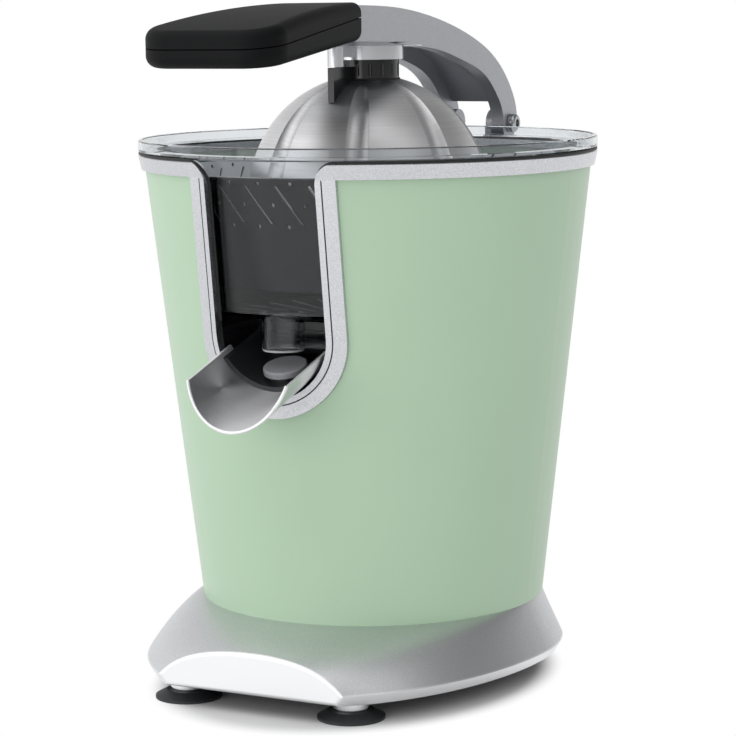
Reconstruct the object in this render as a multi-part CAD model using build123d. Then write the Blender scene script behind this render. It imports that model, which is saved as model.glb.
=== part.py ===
"""Electric lever-press citrus juicer, modelled piece by piece in millimetres.

The drive axis is +Z, the floor is z = 0 and the spout points along -Y.
"""

import math
import os

from build123d import *

# Rim, tapered shell and the window in its front
RIM_RADIUS = 110.0
RIM_TOP_Z = 256.0
RIM_STEP = 2.8
SHELL_TAPER = 24.2
SHELL_TOP_RADIUS = RIM_RADIUS - RIM_STEP
SHELL_BOTTOM_RADIUS = SHELL_TOP_RADIUS - SHELL_TAPER
BODY_SCALE = SHELL_BOTTOM_RADIUS / 83.0
SHELL_BOTTOM_Z = 35.0
SHELL_TOP_Z = RIM_TOP_Z - 10.0
SHELL_WALL = 1.2
WINDOW_HALF_WIDTH = 28.6
WINDOW_ARC_Z = 170.0
WINDOW_TOP_RADIUS = 10.0
BEZEL_WIDTH = 9.0
BEZEL_PROUD = 1.8
BEZEL_LIP = 2.0
BEZEL_LIP_DEPTH = 3.6
BEZEL_BEAD = 2.6
BEZEL_GROOVE = 0.6
TRIM_TOP_Z = RIM_TOP_Z - 6.5
TRIM_HEIGHT = 7.5
TRIM_INNER_RADIUS = SHELL_TOP_RADIUS - RIM_STEP

# Clearances between separate pieces
FIT_GAP = 0.3
SLIDE_GAP = 0.06
RUNNING_GAP = 0.05

# Flared base, its plate and feet
BASE_BOTTOM_Z = 9.0
BASE_EDGE_Z = 14.0
BASE_WAIST_Z = 28.0
BASE_CENTRE_Y = -5.0
BASE_SPREAD = 13.0
BASE_NOSE = 51.0
BASE_TAIL = 6.0
BASE_HALF_WIDTH = SHELL_BOTTOM_RADIUS + BASE_SPREAD
BASE_FRONT_REACH = SHELL_BOTTOM_RADIUS + BASE_NOSE
BASE_REAR_REACH = SHELL_BOTTOM_RADIUS + BASE_TAIL
WAIST_SPREAD = 4.5
WAIST_NOSE = 36.5
WAIST_TAIL = 1.5
WAIST_HALF_WIDTH = SHELL_BOTTOM_RADIUS + WAIST_SPREAD
WAIST_FRONT_REACH = SHELL_BOTTOM_RADIUS + WAIST_NOSE
WAIST_REAR_REACH = SHELL_BOTTOM_RADIUS + WAIST_TAIL
BASE_LIP_INSET = 3.0
BASE_WALL = 3.0
BASE_FACET_CUT = 18.0
BASE_FACET_Y = BASE_CENTRE_Y - BASE_FRONT_REACH + BASE_FACET_CUT
BASE_FACET_EDGE = 2.0
BASE_LEDGE = 17.0
BASE_OPENING_RADIUS = SHELL_BOTTOM_RADIUS - BASE_LEDGE
BASE_SPIGOT_HEIGHT = 4.0
PLATE_THICKNESS = 3.0
VENT_LENGTH = 56.0
VENT_WIDTH = 3.0
VENT_PITCH = 9.0
FRONT_FOOT_X = 0.518 * SHELL_BOTTOM_RADIUS
FRONT_FOOT_Y = BASE_FACET_Y + 17.5
REAR_FOOT_X = 62.0 * BODY_SCALE
REAR_FOOT_Y = 36.0 * BODY_SCALE
CUP_RADIUS = 15.5
CUP_HEIGHT = 4.0
CUP_LIP_WIDTH = 2.5
STEM_RADIUS = 8.3
SPIGOT_RADIUS = 4.5

# Deck under the bowl, and the tower that carries the shaft
DECK_TOP_Z = 172.0
DECK_THICKNESS = 4.0
TOWER_RADIUS = 13.2
TOWER_TOP_Z = 216.0
TOWER_BORE_RADIUS = 9.0
POST_RADIUS = 5.0
POST_RING = SHELL_BOTTOM_RADIUS - 12.0
POST_ANGLE = math.radians(32.3)
POST_X = POST_RING * math.cos(POST_ANGLE)
POST_Y = POST_RING * math.sin(POST_ANGLE)

# Juice bowl, strainer and reamer
BOWL_GAP = 4.4
BOWL_WALL = 2.2
BOWL_BOTTOM_Z = 178.0
BOWL_FLANGE = 2.0
BOWL_LIP_WIDTH = 2.0
CHIMNEY_RADIUS = 16.4
CHIMNEY_TOP_Z = 222.0
NOZZLE_INSET = 15.1
NOZZLE_SHARE = (BOWL_BOTTOM_Z - SHELL_BOTTOM_Z) / (SHELL_TOP_Z - SHELL_BOTTOM_Z)
NOZZLE_Y = NOZZLE_INSET - SHELL_BOTTOM_RADIUS - SHELL_TAPER * NOZZLE_SHARE
NOZZLE_RADIUS = 9.8
NOZZLE_BORE = 7.6
NOZZLE_BOTTOM_Z = 162.3
STRAINER_TOP_Z = 242.0
STRAINER_WALL = 1.6
STRAINER_FLANGE = 5.0
STRAINER_FLOOR_Z = 189.0
STRAINER_DRAFT = 14.0
STRAINER_HUB_RADIUS = 18.5
STRAINER_HUB_Z = STRAINER_FLOOR_Z + 4.0
SLOT_COUNT = 36
SLOT_WIDTH = 1.4
SLOT_LENGTH = 21.0
SLOT_MIDDLE_Z = 229.5
SLOT_LEAN = 33.0
HOLE_RADIUS = 1.0
HOLE_PITCH = 10.0
HOLE_ROWS = (-1, 0, 1)
FLOOR_SLOT_COUNT = 32
FLOOR_SLOT_WIDTH = 2.0
REAMER_RADIUS = 37.0
REAMER_BOTTOM_Z = 214.0
REAMER_CLEARANCE = 13.0
REAMER_RIBS = 8
REAMER_RIB_HEIGHT = 3.2
REAMER_RIB_WIDTH = 3.6
REAMER_WALL = 3.0
REAMER_NOSE_RADIUS = 9.0
REAMER_NOSE_HEIGHT = 10.0

# Press dome and the collar that holds it to the arm
ARM_RISE = 62.4
ARM_FRONT_TOP_Z = RIM_TOP_Z + ARM_RISE
COLLAR_TOP_Z = ARM_FRONT_TOP_Z - 25.7
COLLAR_HEIGHT = 9.7
DOME_TOP_Z = COLLAR_TOP_Z - COLLAR_HEIGHT
REAMER_TOP_Z = DOME_TOP_Z - REAMER_CLEARANCE
DOME_RADIUS = 57.5
DOME_FLAT = 2.5
DOME_CENTRE_Z = DOME_TOP_Z - DOME_RADIUS + DOME_FLAT
DOME_WALL = 1.5
FLUTE_COUNT = 8
FLUTE_TUBE_RADIUS = 7.0
FLUTE_DEPTH = 3.6
FLUTE_RUN_OUT = 66.0
COLLAR_RADIUS = 15.4
COLLAR_FIN_REACH = 36.0
COLLAR_FIN_WIDTH = 3.2

# Lever arm
ARM_HALF_WIDTH = 20.0
ARM_WALL = 3.6
ARM_FRONT_Y = -48.0
ARM_DEPTH = 16.6
ARM_RING_RADIUS = 17.7
ARM_RING_LAP = 8.0
LEG_INNER_X = 13.2
LEG_END_RADIUS = 8.2
HINGE_Y = RIM_RADIUS + 9.5
HINGE_Z = RIM_TOP_Z + 1.0
ARM_WEB_END_Z = HINGE_Z + 11.0
ARM_CREST = ((0.0, 0.0), (0.251, 0.024), (0.501, 0.114), (0.764, 0.295), (0.934, 0.521))
ARM_BELLY = ((0.911, 0.772), (0.836, 0.606), (0.669, 0.453), (0.466, 0.345), (0.251, 0.293))
TANG_LENGTH = 84.0
TANG_HALF_WIDTH = 14.0
TANG_THICKNESS = 6.0
POST_BOSS_Y = -31.0
POST_BOSS_RADIUS = 3.9
POST_BOSS_DROP = 12.0

# Palm grip on the end of the arm
GRIP_FRONT_Y = -153.0
GRIP_REAR_HALF_WIDTH = 23.0
GRIP_FRONT_HALF_WIDTH = 36.1
GRIP_FALL = 11.8
GRIP_REAR_TOP_Z = ARM_FRONT_TOP_Z + 1.2
GRIP_FRONT_TOP_Z = GRIP_REAR_TOP_Z - GRIP_FALL
GRIP_THICKNESS = 17.8
GRIP_SEAM_REAR_Z = GRIP_REAR_TOP_Z - 6.6
GRIP_SEAM_FRONT_Z = GRIP_FRONT_TOP_Z - 7.4
GRIP_CORNER = 16.0
GRIP_EDGE = 5.0
GRIP_CROWN = 2.4
GRIP_SEAM_GAP = 0.5
GRIP_SCOOP_RADIUS = 34.0
GRIP_SCOOP_DEPTH = 4.5

# Hinge bracket on the back of the body
EAR_THICKNESS = 3.6
EAR_GAP = 0.4
EAR_RADIUS = 7.0
BRACKET_HALF_WIDTH = 21.0
BRACKET_TOP_Z = 245.0
BRACKET_BOTTOM_Z = 190.0
BRACKET_REAR_Y = HINGE_Y + 7.5
BRACKET_RAMP = 26.0
BRACKET_LAP = 6.0
BOLT_RADIUS = 3.0
BOLT_HEAD_RADIUS = 4.7
BOLT_HEAD_HEIGHT = 3.6
BOLT_HEAD_ROUND = 1.5
BOLT_SOCKET_RADIUS = 2.3
BOLT_SOCKET_DEPTH = 1.8
BUSH_WALL = 1.2

# Tilting spout that stops the drip
SPOUT_TILT = 17.0
PIVOT_Y = NOZZLE_Y + 20.8
PIVOT_RADIUS = 2.0
SPOUT_ARC_RISE = 18.0
SPOUT_RADIUS = 27.4
SPOUT_WALL = 1.2
SPOUT_EDGE_RISE = 9.5
SPOUT_REAR = 24.0
SPOUT_FRONT = 63.0
SPOUT_MOUTH_LEAN = 18.0
CARRIER_FRONT = 34.0
CARRIER_WALL = 2.4
PAD_RADIUS = 10.4
PAD_THICKNESS = 3.0
PAD_GAP = 0.3
BARREL_RADIUS = 4.2
NICHE_RADIUS = 30.2
NICHE_WALL = 2.0
NICHE_REAR_Y = PIVOT_Y + 9.0

# Motor and two-stage gear train, sized to the shell they stand in
GEAR_MODULE = 1.0 * BODY_SCALE
PINION_TEETH = 15
WHEEL_TEETH = 60
TOOTH_ADDENDUM = 0.8
TOOTH_DEDENDUM = 1.05
TOOTH_BACKLASH = 0.24
PRESSURE_ANGLE = math.radians(20.0)
GEAR_CENTRES = GEAR_MODULE * (PINION_TEETH + WHEEL_TEETH) / 2
FIRST_STAGE_Z = 112.5
STAGE_HEIGHT = 8.0
SECOND_STAGE_Z = 122.5
MOTOR_SHAFT_RADIUS = 4.0 * BODY_SCALE
MOTOR_SHAFT_BOTTOM_Z = 38.0
BRACKET_PLATE = 4.0
LOWER_BRACKET_Z = 46.0
STATOR_BOTTOM_Z = 60.0
STATOR_HEIGHT = 35.0
STATOR_SIDE = 90.0 * BODY_SCALE
STATOR_BORE = 27.4 * BODY_SCALE
STATOR_CORNER = 8.0
MOTOR_BOLT_OFFSET = 38.0 * BODY_SCALE
MOTOR_BOLT_RADIUS = 2.4
ROTOR_GAP = 0.9
UPPER_BRACKET_Z = 104.0
MOTOR_BUSH_RADIUS = 7.0
MOTOR_BUSH_HEIGHT = 10.0
FAN_RADIUS = 40.0 * BODY_SCALE
FAN_BLADES = 9
IDLER_PIN_RADIUS = 3.0 * BODY_SCALE
GEARBOX_RADIUS = 44.0 * BODY_SCALE
GEARBOX_WALL = 3.0
GEARBOX_TOP_Z = 139.0
HUB_RADIUS = 9.0
HUB_TOP_Z = 143.0
MOUNT_RADIUS = 6.0
MOUNT_RING = SHELL_BOTTOM_RADIUS - 12.0

# Output shaft, start switch and its leaf spring
SHAFT_RADIUS = 5.0
SHAFT_FLAT = 3.8
SHAFT_BOTTOM_Z = 125.0
SHAFT_TOP_Z = 246.0
PRESS_TRAVEL = 2.0
COLLAR_DISC_RADIUS = 20.0
COLLAR_DISC_Z = 151.0
COLLAR_DISC_HEIGHT = 3.0
SWITCH_X = 24.0
SWITCH_LENGTH = 20.0
SWITCH_WIDTH = 8.0
SWITCH_HEIGHT = 7.0
BUTTON_X = 17.5
BUTTON_RADIUS = 1.6
LEAF_THICKNESS = 0.5
LEAF_WIDTH = 8.0
SHAFT_BUSH_HEIGHT = 16.0
SEAL_HEIGHT = 4.0
SCREW_RADIUS = 1.8
SCREW_HEAD_RADIUS = 3.4
SCREW_HEAD_HEIGHT = 2.0
GROMMET_RADIUS = 6.5
GROMMET_BORE = 3.6
GROMMET_Z = 21.0

BOTTOM_UP = (Align.CENTER, Align.CENTER, Align.MIN)


def shell_radius(z):
    """Outer radius of the tapered shell at height z."""
    share = (z - SHELL_BOTTOM_Z) / (SHELL_TOP_Z - SHELL_BOTTOM_Z)
    return SHELL_BOTTOM_RADIUS + (SHELL_TOP_RADIUS - SHELL_BOTTOM_RADIUS) * share


def ring(*points):
    """Revolves a closed outline of (radius, z) points about the drive axis."""
    outline = Polyline(*[(r, 0, z) for r, z in points], close=True)
    return revolve(make_face(outline), Axis.Z)


def tube(outer, inner, bottom, top):
    """Upright tube on the drive axis."""
    return ring((inner, bottom), (outer, bottom), (outer, top), (inner, top))


def rod(radius, bottom, top, x=0.0, y=0.0):
    """Upright round bar."""
    return Pos(x, y, bottom) * Cylinder(radius, top - bottom, align=BOTTOM_UP)


def cross_rod(radius, x0, x1, y, z):
    """Round bar along X."""
    return Pos((x0 + x1) / 2, y, z) * Rot(0, 90, 0) * Cylinder(radius, abs(x1 - x0))


def cone_solid(offset, bottom, top):
    """Solid inside the shell's outer surface, grown by offset, between two heights."""
    r0, r1 = shell_radius(bottom) + offset, shell_radius(top) + offset
    return ring((0, bottom), (r0, bottom), (r1, top), (0, top))


def joined(pieces):
    """Several solids as one shape."""
    result = Part()
    for piece in pieces:
        result += piece
    return result


def mirrored_x(x, y):
    """The two points left and right of the centre plane."""
    return [(-x, y), (x, y)]


def screw(bottom, top, x, y, head_down=True):
    """Pan-head screw along Z, with its head at one end."""
    head_z = bottom - SCREW_HEAD_HEIGHT if head_down else top
    head = rod(SCREW_HEAD_RADIUS, head_z, head_z + SCREW_HEAD_HEIGHT, x, y)
    return rod(SCREW_RADIUS, bottom, top, x, y) + head


# Base


def egg_wire(half_width, front, rear, centre_y, z):
    """Outline of two half ellipses: a long one in front and a short one behind."""
    centre = Pos(0, centre_y, z)
    back = centre * EllipticalCenterArc((0, 0), half_width, rear, 0, arc_size=180)
    nose = centre * EllipticalCenterArc((0, 0), half_width, front, 180, arc_size=180)
    return Wire([back, nose])


def base_form(inset, top):
    """The flared base as a solid, drawn in by inset, cut flat at its front."""
    levels = (
        (BASE_EDGE_Z, BASE_HALF_WIDTH, BASE_FRONT_REACH, BASE_REAR_REACH, BASE_CENTRE_Y),
        (BASE_WAIST_Z, WAIST_HALF_WIDTH, WAIST_FRONT_REACH, WAIST_REAR_REACH, BASE_CENTRE_Y / 2),
        (SHELL_BOTTOM_Z, SHELL_BOTTOM_RADIUS, SHELL_BOTTOM_RADIUS, SHELL_BOTTOM_RADIUS, 0.0),
    )
    wires = [
        egg_wire(half - inset, front - inset, rear - inset, y, z) for z, half, front, rear, y in levels
    ]
    flare = loft([Face(wire) for wire in wires])
    z, half, front, rear, y = levels[0]
    low = inset + BASE_LIP_INSET
    lip = loft(
        [Face(egg_wire(half - low, front - low, rear - low, y, BASE_BOTTOM_Z)), Face(wires[0])]
    )
    reach = 2 * BASE_FRONT_REACH
    form = flare + lip
    form -= Pos(0, BASE_FACET_Y + inset, BASE_EDGE_Z) * Box(
        reach, reach, reach, align=(Align.CENTER, Align.MAX, Align.CENTER)
    )
    if top < SHELL_BOTTOM_Z:
        return form - Pos(0, 0, top) * Box(2 * reach, 2 * reach, reach, align=BOTTOM_UP)
    facet = form.faces().sort_by(Axis.Y)[0]
    return fillet(facet.edges(), BASE_FACET_EDGE)


def foot_places():
    """Where the four feet stand."""
    return mirrored_x(FRONT_FOOT_X, FRONT_FOOT_Y) + mirrored_x(REAR_FOOT_X, REAR_FOOT_Y)


def make_base_housing():
    """Flared skirt, open below, with a ring on top that carries the shell and the motor."""
    floor = SHELL_BOTTOM_Z - BASE_WALL
    housing = base_form(0.0, SHELL_BOTTOM_Z)
    drop = Pos(0, 0, -BASE_WALL / 2)
    housing -= drop * base_form(BASE_WALL, floor + BASE_WALL / 2)
    housing -= rod(BASE_OPENING_RADIUS, BASE_BOTTOM_Z, SHELL_BOTTOM_Z)
    spigot = SHELL_BOTTOM_RADIUS - SHELL_WALL - FIT_GAP
    housing += tube(
        spigot, spigot - BASE_WALL, SHELL_BOTTOM_Z - BASE_WALL, SHELL_BOTTOM_Z + BASE_SPIGOT_HEIGHT
    )
    bosses = [
        rod(SCREW_HEAD_RADIUS, BASE_BOTTOM_Z + PLATE_THICKNESS, floor + BASE_WALL / 2, x, y)
        - rod(SCREW_RADIUS, BASE_BOTTOM_Z, floor - BASE_WALL, x, y)
        for x, y in base_screw_places()
    ]
    housing = joined([housing, *bosses])
    rear = Pos(0, SHELL_BOTTOM_RADIUS, GROMMET_Z) * Rot(90, 0, 0)
    return housing - rear * Cylinder(GROMMET_RADIUS - BASE_WALL / 2, 8 * BASE_WALL)


def base_screw_places():
    """Screws that hold the plate, on bosses under the base's top ring."""
    place = (BASE_OPENING_RADIUS + SHELL_BOTTOM_RADIUS) / 2 / math.sqrt(2)
    return mirrored_x(place, -place) + mirrored_x(place, place)


def make_base_plate():
    """Flat cover that closes the base from below."""
    inset = BASE_WALL + BASE_LIP_INSET + FIT_GAP
    outline = Face(
        egg_wire(
            BASE_HALF_WIDTH - inset,
            BASE_FRONT_REACH - inset,
            BASE_REAR_REACH - inset,
            BASE_CENTRE_Y,
            BASE_BOTTOM_Z,
        )
    )
    plate = extrude(outline, PLATE_THICKNESS, dir=(0, 0, 1))
    reach = 2 * BASE_FRONT_REACH
    plate &= Pos(0, BASE_FACET_Y + BASE_WALL + FIT_GAP, 0) * Box(
        reach, reach, reach, align=(Align.CENTER, Align.MIN, Align.CENTER)
    )
    top = BASE_BOTTOM_Z + PLATE_THICKNESS
    for x, y in foot_places():
        plate -= rod(SPIGOT_RADIUS, BASE_BOTTOM_Z, top, x, y)
    for x, y in base_screw_places():
        plate -= rod(SCREW_RADIUS, BASE_BOTTOM_Z, top, x, y)
    for row in range(-3, 4):
        vent = Box(VENT_LENGTH, VENT_WIDTH, 4 * PLATE_THICKNESS)
        plate -= Pos(0, row * VENT_PITCH, BASE_BOTTOM_Z) * vent
    return plate


def make_foot_stems():
    """Metallic stems between the base plate and the suction cups."""
    stem = ring(
        (0, CUP_HEIGHT),
        (STEM_RADIUS, CUP_HEIGHT),
        (STEM_RADIUS + 0.6, BASE_BOTTOM_Z),
        (SPIGOT_RADIUS, BASE_BOTTOM_Z),
        (SPIGOT_RADIUS, BASE_BOTTOM_Z + PLATE_THICKNESS + 1),
        (0, BASE_BOTTOM_Z + PLATE_THICKNESS + 1),
    )
    return joined(Pos(x, y, 0) * stem for x, y in foot_places())


def make_suction_cups():
    """Rubber cups, hollow below, that stand on the floor."""
    inner = CUP_RADIUS - CUP_LIP_WIDTH
    cup = ring(
        (0, CUP_HEIGHT / 2),
        (inner, 0),
        (CUP_RADIUS, 0),
        (CUP_RADIUS, 1.2),
        (STEM_RADIUS + 2.0, CUP_HEIGHT),
        (0, CUP_HEIGHT),
    )
    return joined(Pos(x, y, 0) * cup for x, y in foot_places())


def make_base_screws():
    """Screws through the base plate into the housing's bosses."""
    top = SHELL_BOTTOM_Z - 3 * BASE_WALL
    return joined(screw(BASE_BOTTOM_Z, top, x, y) for x, y in base_screw_places())


def make_cord_grommet():
    """Gland in the back of the base where a mains lead would enter."""
    flange = GROMMET_RADIUS - BASE_WALL / 2
    face = SHELL_BOTTOM_RADIUS + 2 * BASE_WALL
    body = Pos(0, face, GROMMET_Z) * Rot(90, 0, 0) * Cylinder(flange - FIT_GAP / 3, 6 * BASE_WALL)
    body &= base_form(0.0, SHELL_BOTTOM_Z)
    return body - Pos(0, face, GROMMET_Z) * Rot(90, 0, 0) * Cylinder(GROMMET_BORE, 12 * BASE_WALL)


# Body shell, trim and deck


def window_face(grow, rounded):
    """Upright U outline of the front window, grown outwards, in the plane Y = 0."""
    half = WINDOW_HALF_WIDTH + grow
    high = RIM_TOP_Z - WINDOW_ARC_Z
    flat = Plane((0, 0, WINDOW_ARC_Z), x_dir=(1, 0, 0), z_dir=(0, -1, 0))
    shape = Circle(half) + Pos(0, high / 2) * Rectangle(2 * half, high)
    if rounded:
        brim = high + WINDOW_ARC_Z - TRIM_TOP_Z
        shape += Pos(0, TRIM_TOP_Z - WINDOW_ARC_Z + brim / 2) * Rectangle(6 * half, brim)
        corners = [
            v
            for v in shape.vertices()
            if abs(abs(v.X) - half) < 0.1 and abs(v.Y - (TRIM_TOP_Z - WINDOW_ARC_Z)) < 0.1
        ]
        shape = fillet(corners, WINDOW_TOP_RADIUS)
    return flat * shape


def window_cut(grow, rounded=False):
    """Solid that cuts the window through the front of the body."""
    cut = extrude(window_face(grow, rounded), RIM_RADIUS * 1.2, dir=(0, -1, 0))
    return cut & Pos(0, -RIM_RADIUS, RIM_TOP_Z) * Box(
        4 * RIM_RADIUS, 1.2 * RIM_RADIUS, 4 * RIM_RADIUS, align=Align.CENTER
    )


def make_body_shell():
    """Tapered enamelled sheet with the window cut in its front."""
    shell = cone_solid(0.0, SHELL_BOTTOM_Z, SHELL_TOP_Z) - cone_solid(
        -SHELL_WALL, SHELL_BOTTOM_Z, SHELL_TOP_Z
    )
    shell -= window_cut(BEZEL_LIP + FIT_GAP / 3)
    for x, z in bracket_screw_places():
        shell -= Pos(x, shell_radius(z), z) * Rot(90, 0, 0) * Cylinder(SCREW_RADIUS, 24)
    return shell


def make_trim_bezel():
    """Silver ring on the shell's top edge, running down round the window as a frame."""
    low = TRIM_TOP_Z - TRIM_HEIGHT
    edge = shell_radius(low)
    top = shell_radius(SHELL_TOP_Z)
    band = ring(
        (edge, low),
        (edge + BEZEL_PROUD, low),
        (RIM_RADIUS, TRIM_TOP_Z - 1.0),
        (RIM_RADIUS - 1.0, TRIM_TOP_Z),
        (TRIM_INNER_RADIUS, TRIM_TOP_Z),
        (TRIM_INNER_RADIUS, SHELL_TOP_Z),
        (top, SHELL_TOP_Z),
    )
    bottom = WINDOW_ARC_Z - WINDOW_HALF_WIDTH - 2 * BEZEL_WIDTH
    proud = cone_solid(BEZEL_PROUD, bottom, SHELL_TOP_Z)
    plate = (proud - cone_solid(0.0, bottom, SHELL_TOP_Z)) & window_cut(BEZEL_WIDTH)
    rim = (proud - cone_solid(-BEZEL_LIP_DEPTH, bottom, SHELL_TOP_Z)) & window_cut(BEZEL_LIP)
    groove = cone_solid(2 * BEZEL_PROUD, bottom, low) - cone_solid(
        BEZEL_PROUD - BEZEL_GROOVE, bottom, low
    )
    groove &= window_cut(BEZEL_BEAD + BEZEL_GROOVE) - window_cut(BEZEL_BEAD)
    frame = band + (plate + rim - groove)
    return frame - window_cut(0.0, rounded=True)


def make_motor_deck():
    """Black deck below the bowl, with the shaft tower and four posts to the base."""
    under = DECK_TOP_Z - DECK_THICKNESS
    deck = cone_solid(-SHELL_WALL - FIT_GAP, under, DECK_TOP_Z)
    deck -= Pos(0, NICHE_REAR_Y, under) * Box(
        2 * NICHE_RADIUS + NICHE_WALL,
        2 * RIM_RADIUS,
        6 * DECK_THICKNESS,
        align=(Align.CENTER, Align.MAX, Align.CENTER),
    )
    deck += rod(TOWER_RADIUS, under, TOWER_TOP_Z)
    for x, y in mirrored_x(POST_X, POST_Y) + mirrored_x(POST_X, -POST_Y):
        deck += rod(POST_RADIUS, SHELL_BOTTOM_Z, under + DECK_THICKNESS / 2, x, y)
    return deck - rod(TOWER_BORE_RADIUS, under, TOWER_TOP_Z)


def make_spout_niche():
    """Black half-pipe behind the window that the spout tilts in."""
    outer = NICHE_RADIUS + NICHE_WALL
    top = DECK_TOP_Z - DECK_THICKNESS
    grow = NICHE_RADIUS - WINDOW_HALF_WIDTH
    solid = window_cut(grow + NICHE_WALL)
    solid &= cone_solid(-BEZEL_LIP_DEPTH - FIT_GAP, WINDOW_ARC_Z - outer - 1, top)
    room = window_cut(grow)
    floor = WINDOW_ARC_Z - NICHE_RADIUS
    room -= Pos(0, 0, floor) * Box(
        4 * outer, -2 * (NICHE_REAR_Y - NICHE_WALL), 4 * outer
    )
    niche = solid - room
    niche &= Pos(0, NICHE_REAR_Y, top) * Box(
        4 * outer, 2 * RIM_RADIUS, 4 * outer, align=(Align.CENTER, Align.MAX, Align.CENTER)
    )
    return niche - cross_rod(PIVOT_RADIUS, -outer, outer, PIVOT_Y, NOZZLE_BOTTOM_Z)


def bracket_screw_places():
    """Screws that hold the hinge bracket from inside the shell."""
    low = BRACKET_BOTTOM_Z + 12
    return mirrored_x(BRACKET_HALF_WIDTH / 2, low) + mirrored_x(BRACKET_HALF_WIDTH / 2, low + 22)


def make_hinge_bracket():
    """Silver block on the back of the body with two ears for the arm."""
    side = make_face(
        Polyline(
            (0, shell_radius(BRACKET_BOTTOM_Z) - BRACKET_LAP, BRACKET_BOTTOM_Z),
            (0, shell_radius(BRACKET_BOTTOM_Z) + BRACKET_LAP, BRACKET_BOTTOM_Z),
            (0, BRACKET_REAR_Y, BRACKET_BOTTOM_Z + BRACKET_RAMP),
            (0, BRACKET_REAR_Y, BRACKET_TOP_Z),
            (0, shell_radius(BRACKET_TOP_Z) - BRACKET_LAP, BRACKET_TOP_Z),
            close=True,
        )
    )
    block = extrude(side, BRACKET_HALF_WIDTH, dir=(1, 0, 0), both=True)
    upright = [e for e in block.edges() if e.center().Y > BRACKET_REAR_Y - 1 and abs(e.center().X) > 1]
    block = fillet(upright, 5.0)
    outer = LEG_INNER_X - EAR_GAP
    for x in (-outer + EAR_THICKNESS / 2, outer - EAR_THICKNESS / 2):
        ear = cross_rod(EAR_RADIUS, x - EAR_THICKNESS / 2, x + EAR_THICKNESS / 2, HINGE_Y, HINGE_Z)
        ear += Pos(x, HINGE_Y, BRACKET_TOP_Z - 1) * Box(
            EAR_THICKNESS, 2 * EAR_RADIUS, HINGE_Z - BRACKET_TOP_Z + 1, align=BOTTOM_UP
        )
        block += ear
    block -= cone_solid(0.0, BRACKET_BOTTOM_Z - 5, SHELL_TOP_Z)
    block -= rod(RIM_RADIUS + FIT_GAP, TRIM_TOP_Z - TRIM_HEIGHT - FIT_GAP, RIM_TOP_Z + 2)
    for side in (-1, 1):
        block -= cross_rod(BOLT_RADIUS, 0, side * 2 * LEG_INNER_X, HINGE_Y, HINGE_Z)
    for x, z in bracket_screw_places():
        block -= Pos(x, shell_radius(z), z) * Rot(90, 0, 0) * Cylinder(SCREW_RADIUS, 24)
    return block


def make_bracket_screws():
    """Screws from inside the shell into the hinge bracket."""
    screws = []
    for x, z in bracket_screw_places():
        inside = math.sqrt((shell_radius(z) - SHELL_WALL) ** 2 - x * x) - 3 * FIT_GAP
        stem = Pos(x, inside + 6, z) * Rot(90, 0, 0) * Cylinder(SCREW_RADIUS, 12)
        head = Pos(x, inside - 0.7, z) * Rot(90, 0, 0) * Cylinder(SCREW_HEAD_RADIUS, 1.4)
        screws.append(stem + head)
    return joined(screws)


# Bowl, strainer, reamer and dome


def bowl_radius(z):
    """Outer radius of the bowl's tapered wall at height z."""
    return shell_radius(z) - BOWL_GAP


def make_juice_bowl():
    """Clear tub with a rim flange, a chimney for the shaft and an outlet nozzle."""
    seat = TRIM_TOP_Z + FIT_GAP
    wall = BOWL_WALL
    top = min(bowl_radius(seat), TRIM_INNER_RADIUS - FIT_GAP)
    floor = BOWL_BOTTOM_Z + wall
    bowl = ring(
        (CHIMNEY_RADIUS - wall, BOWL_BOTTOM_Z),
        (bowl_radius(BOWL_BOTTOM_Z) - wall, BOWL_BOTTOM_Z),
        (bowl_radius(floor), floor),
        (top, seat),
        (RIM_RADIUS - 1.0, seat),
        (RIM_RADIUS, seat + 1.0),
        (RIM_RADIUS, RIM_TOP_Z - 0.6),
        (RIM_RADIUS - 0.6, RIM_TOP_Z),
        (RIM_RADIUS - BOWL_LIP_WIDTH, RIM_TOP_Z),
        (RIM_RADIUS - BOWL_LIP_WIDTH, seat + BOWL_FLANGE),
        (top - wall, seat + BOWL_FLANGE),
        (bowl_radius(floor) - wall, floor),
        (CHIMNEY_RADIUS, floor),
        (CHIMNEY_RADIUS, CHIMNEY_TOP_Z),
        (CHIMNEY_RADIUS - wall, CHIMNEY_TOP_Z),
    )
    nozzle = rod(NOZZLE_RADIUS, NOZZLE_BOTTOM_Z, floor - wall / 2, 0, NOZZLE_Y)
    nozzle = chamfer(nozzle.edges().group_by(Axis.Z)[0], 1.2)
    bowl += nozzle
    return bowl - rod(NOZZLE_BORE, NOZZLE_BOTTOM_Z - 1, floor + 1, 0, NOZZLE_Y)


def strainer_radius(z):
    """Outer radius of the pulp basket's wall at height z."""
    brim = bowl_radius(STRAINER_TOP_Z) - BOWL_WALL - 2 * FIT_GAP - STRAINER_FLANGE
    below = (STRAINER_TOP_Z - STRAINER_WALL - z) / (STRAINER_TOP_Z - STRAINER_WALL - STRAINER_FLOOR_Z)
    return brim - STRAINER_DRAFT * below


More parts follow.
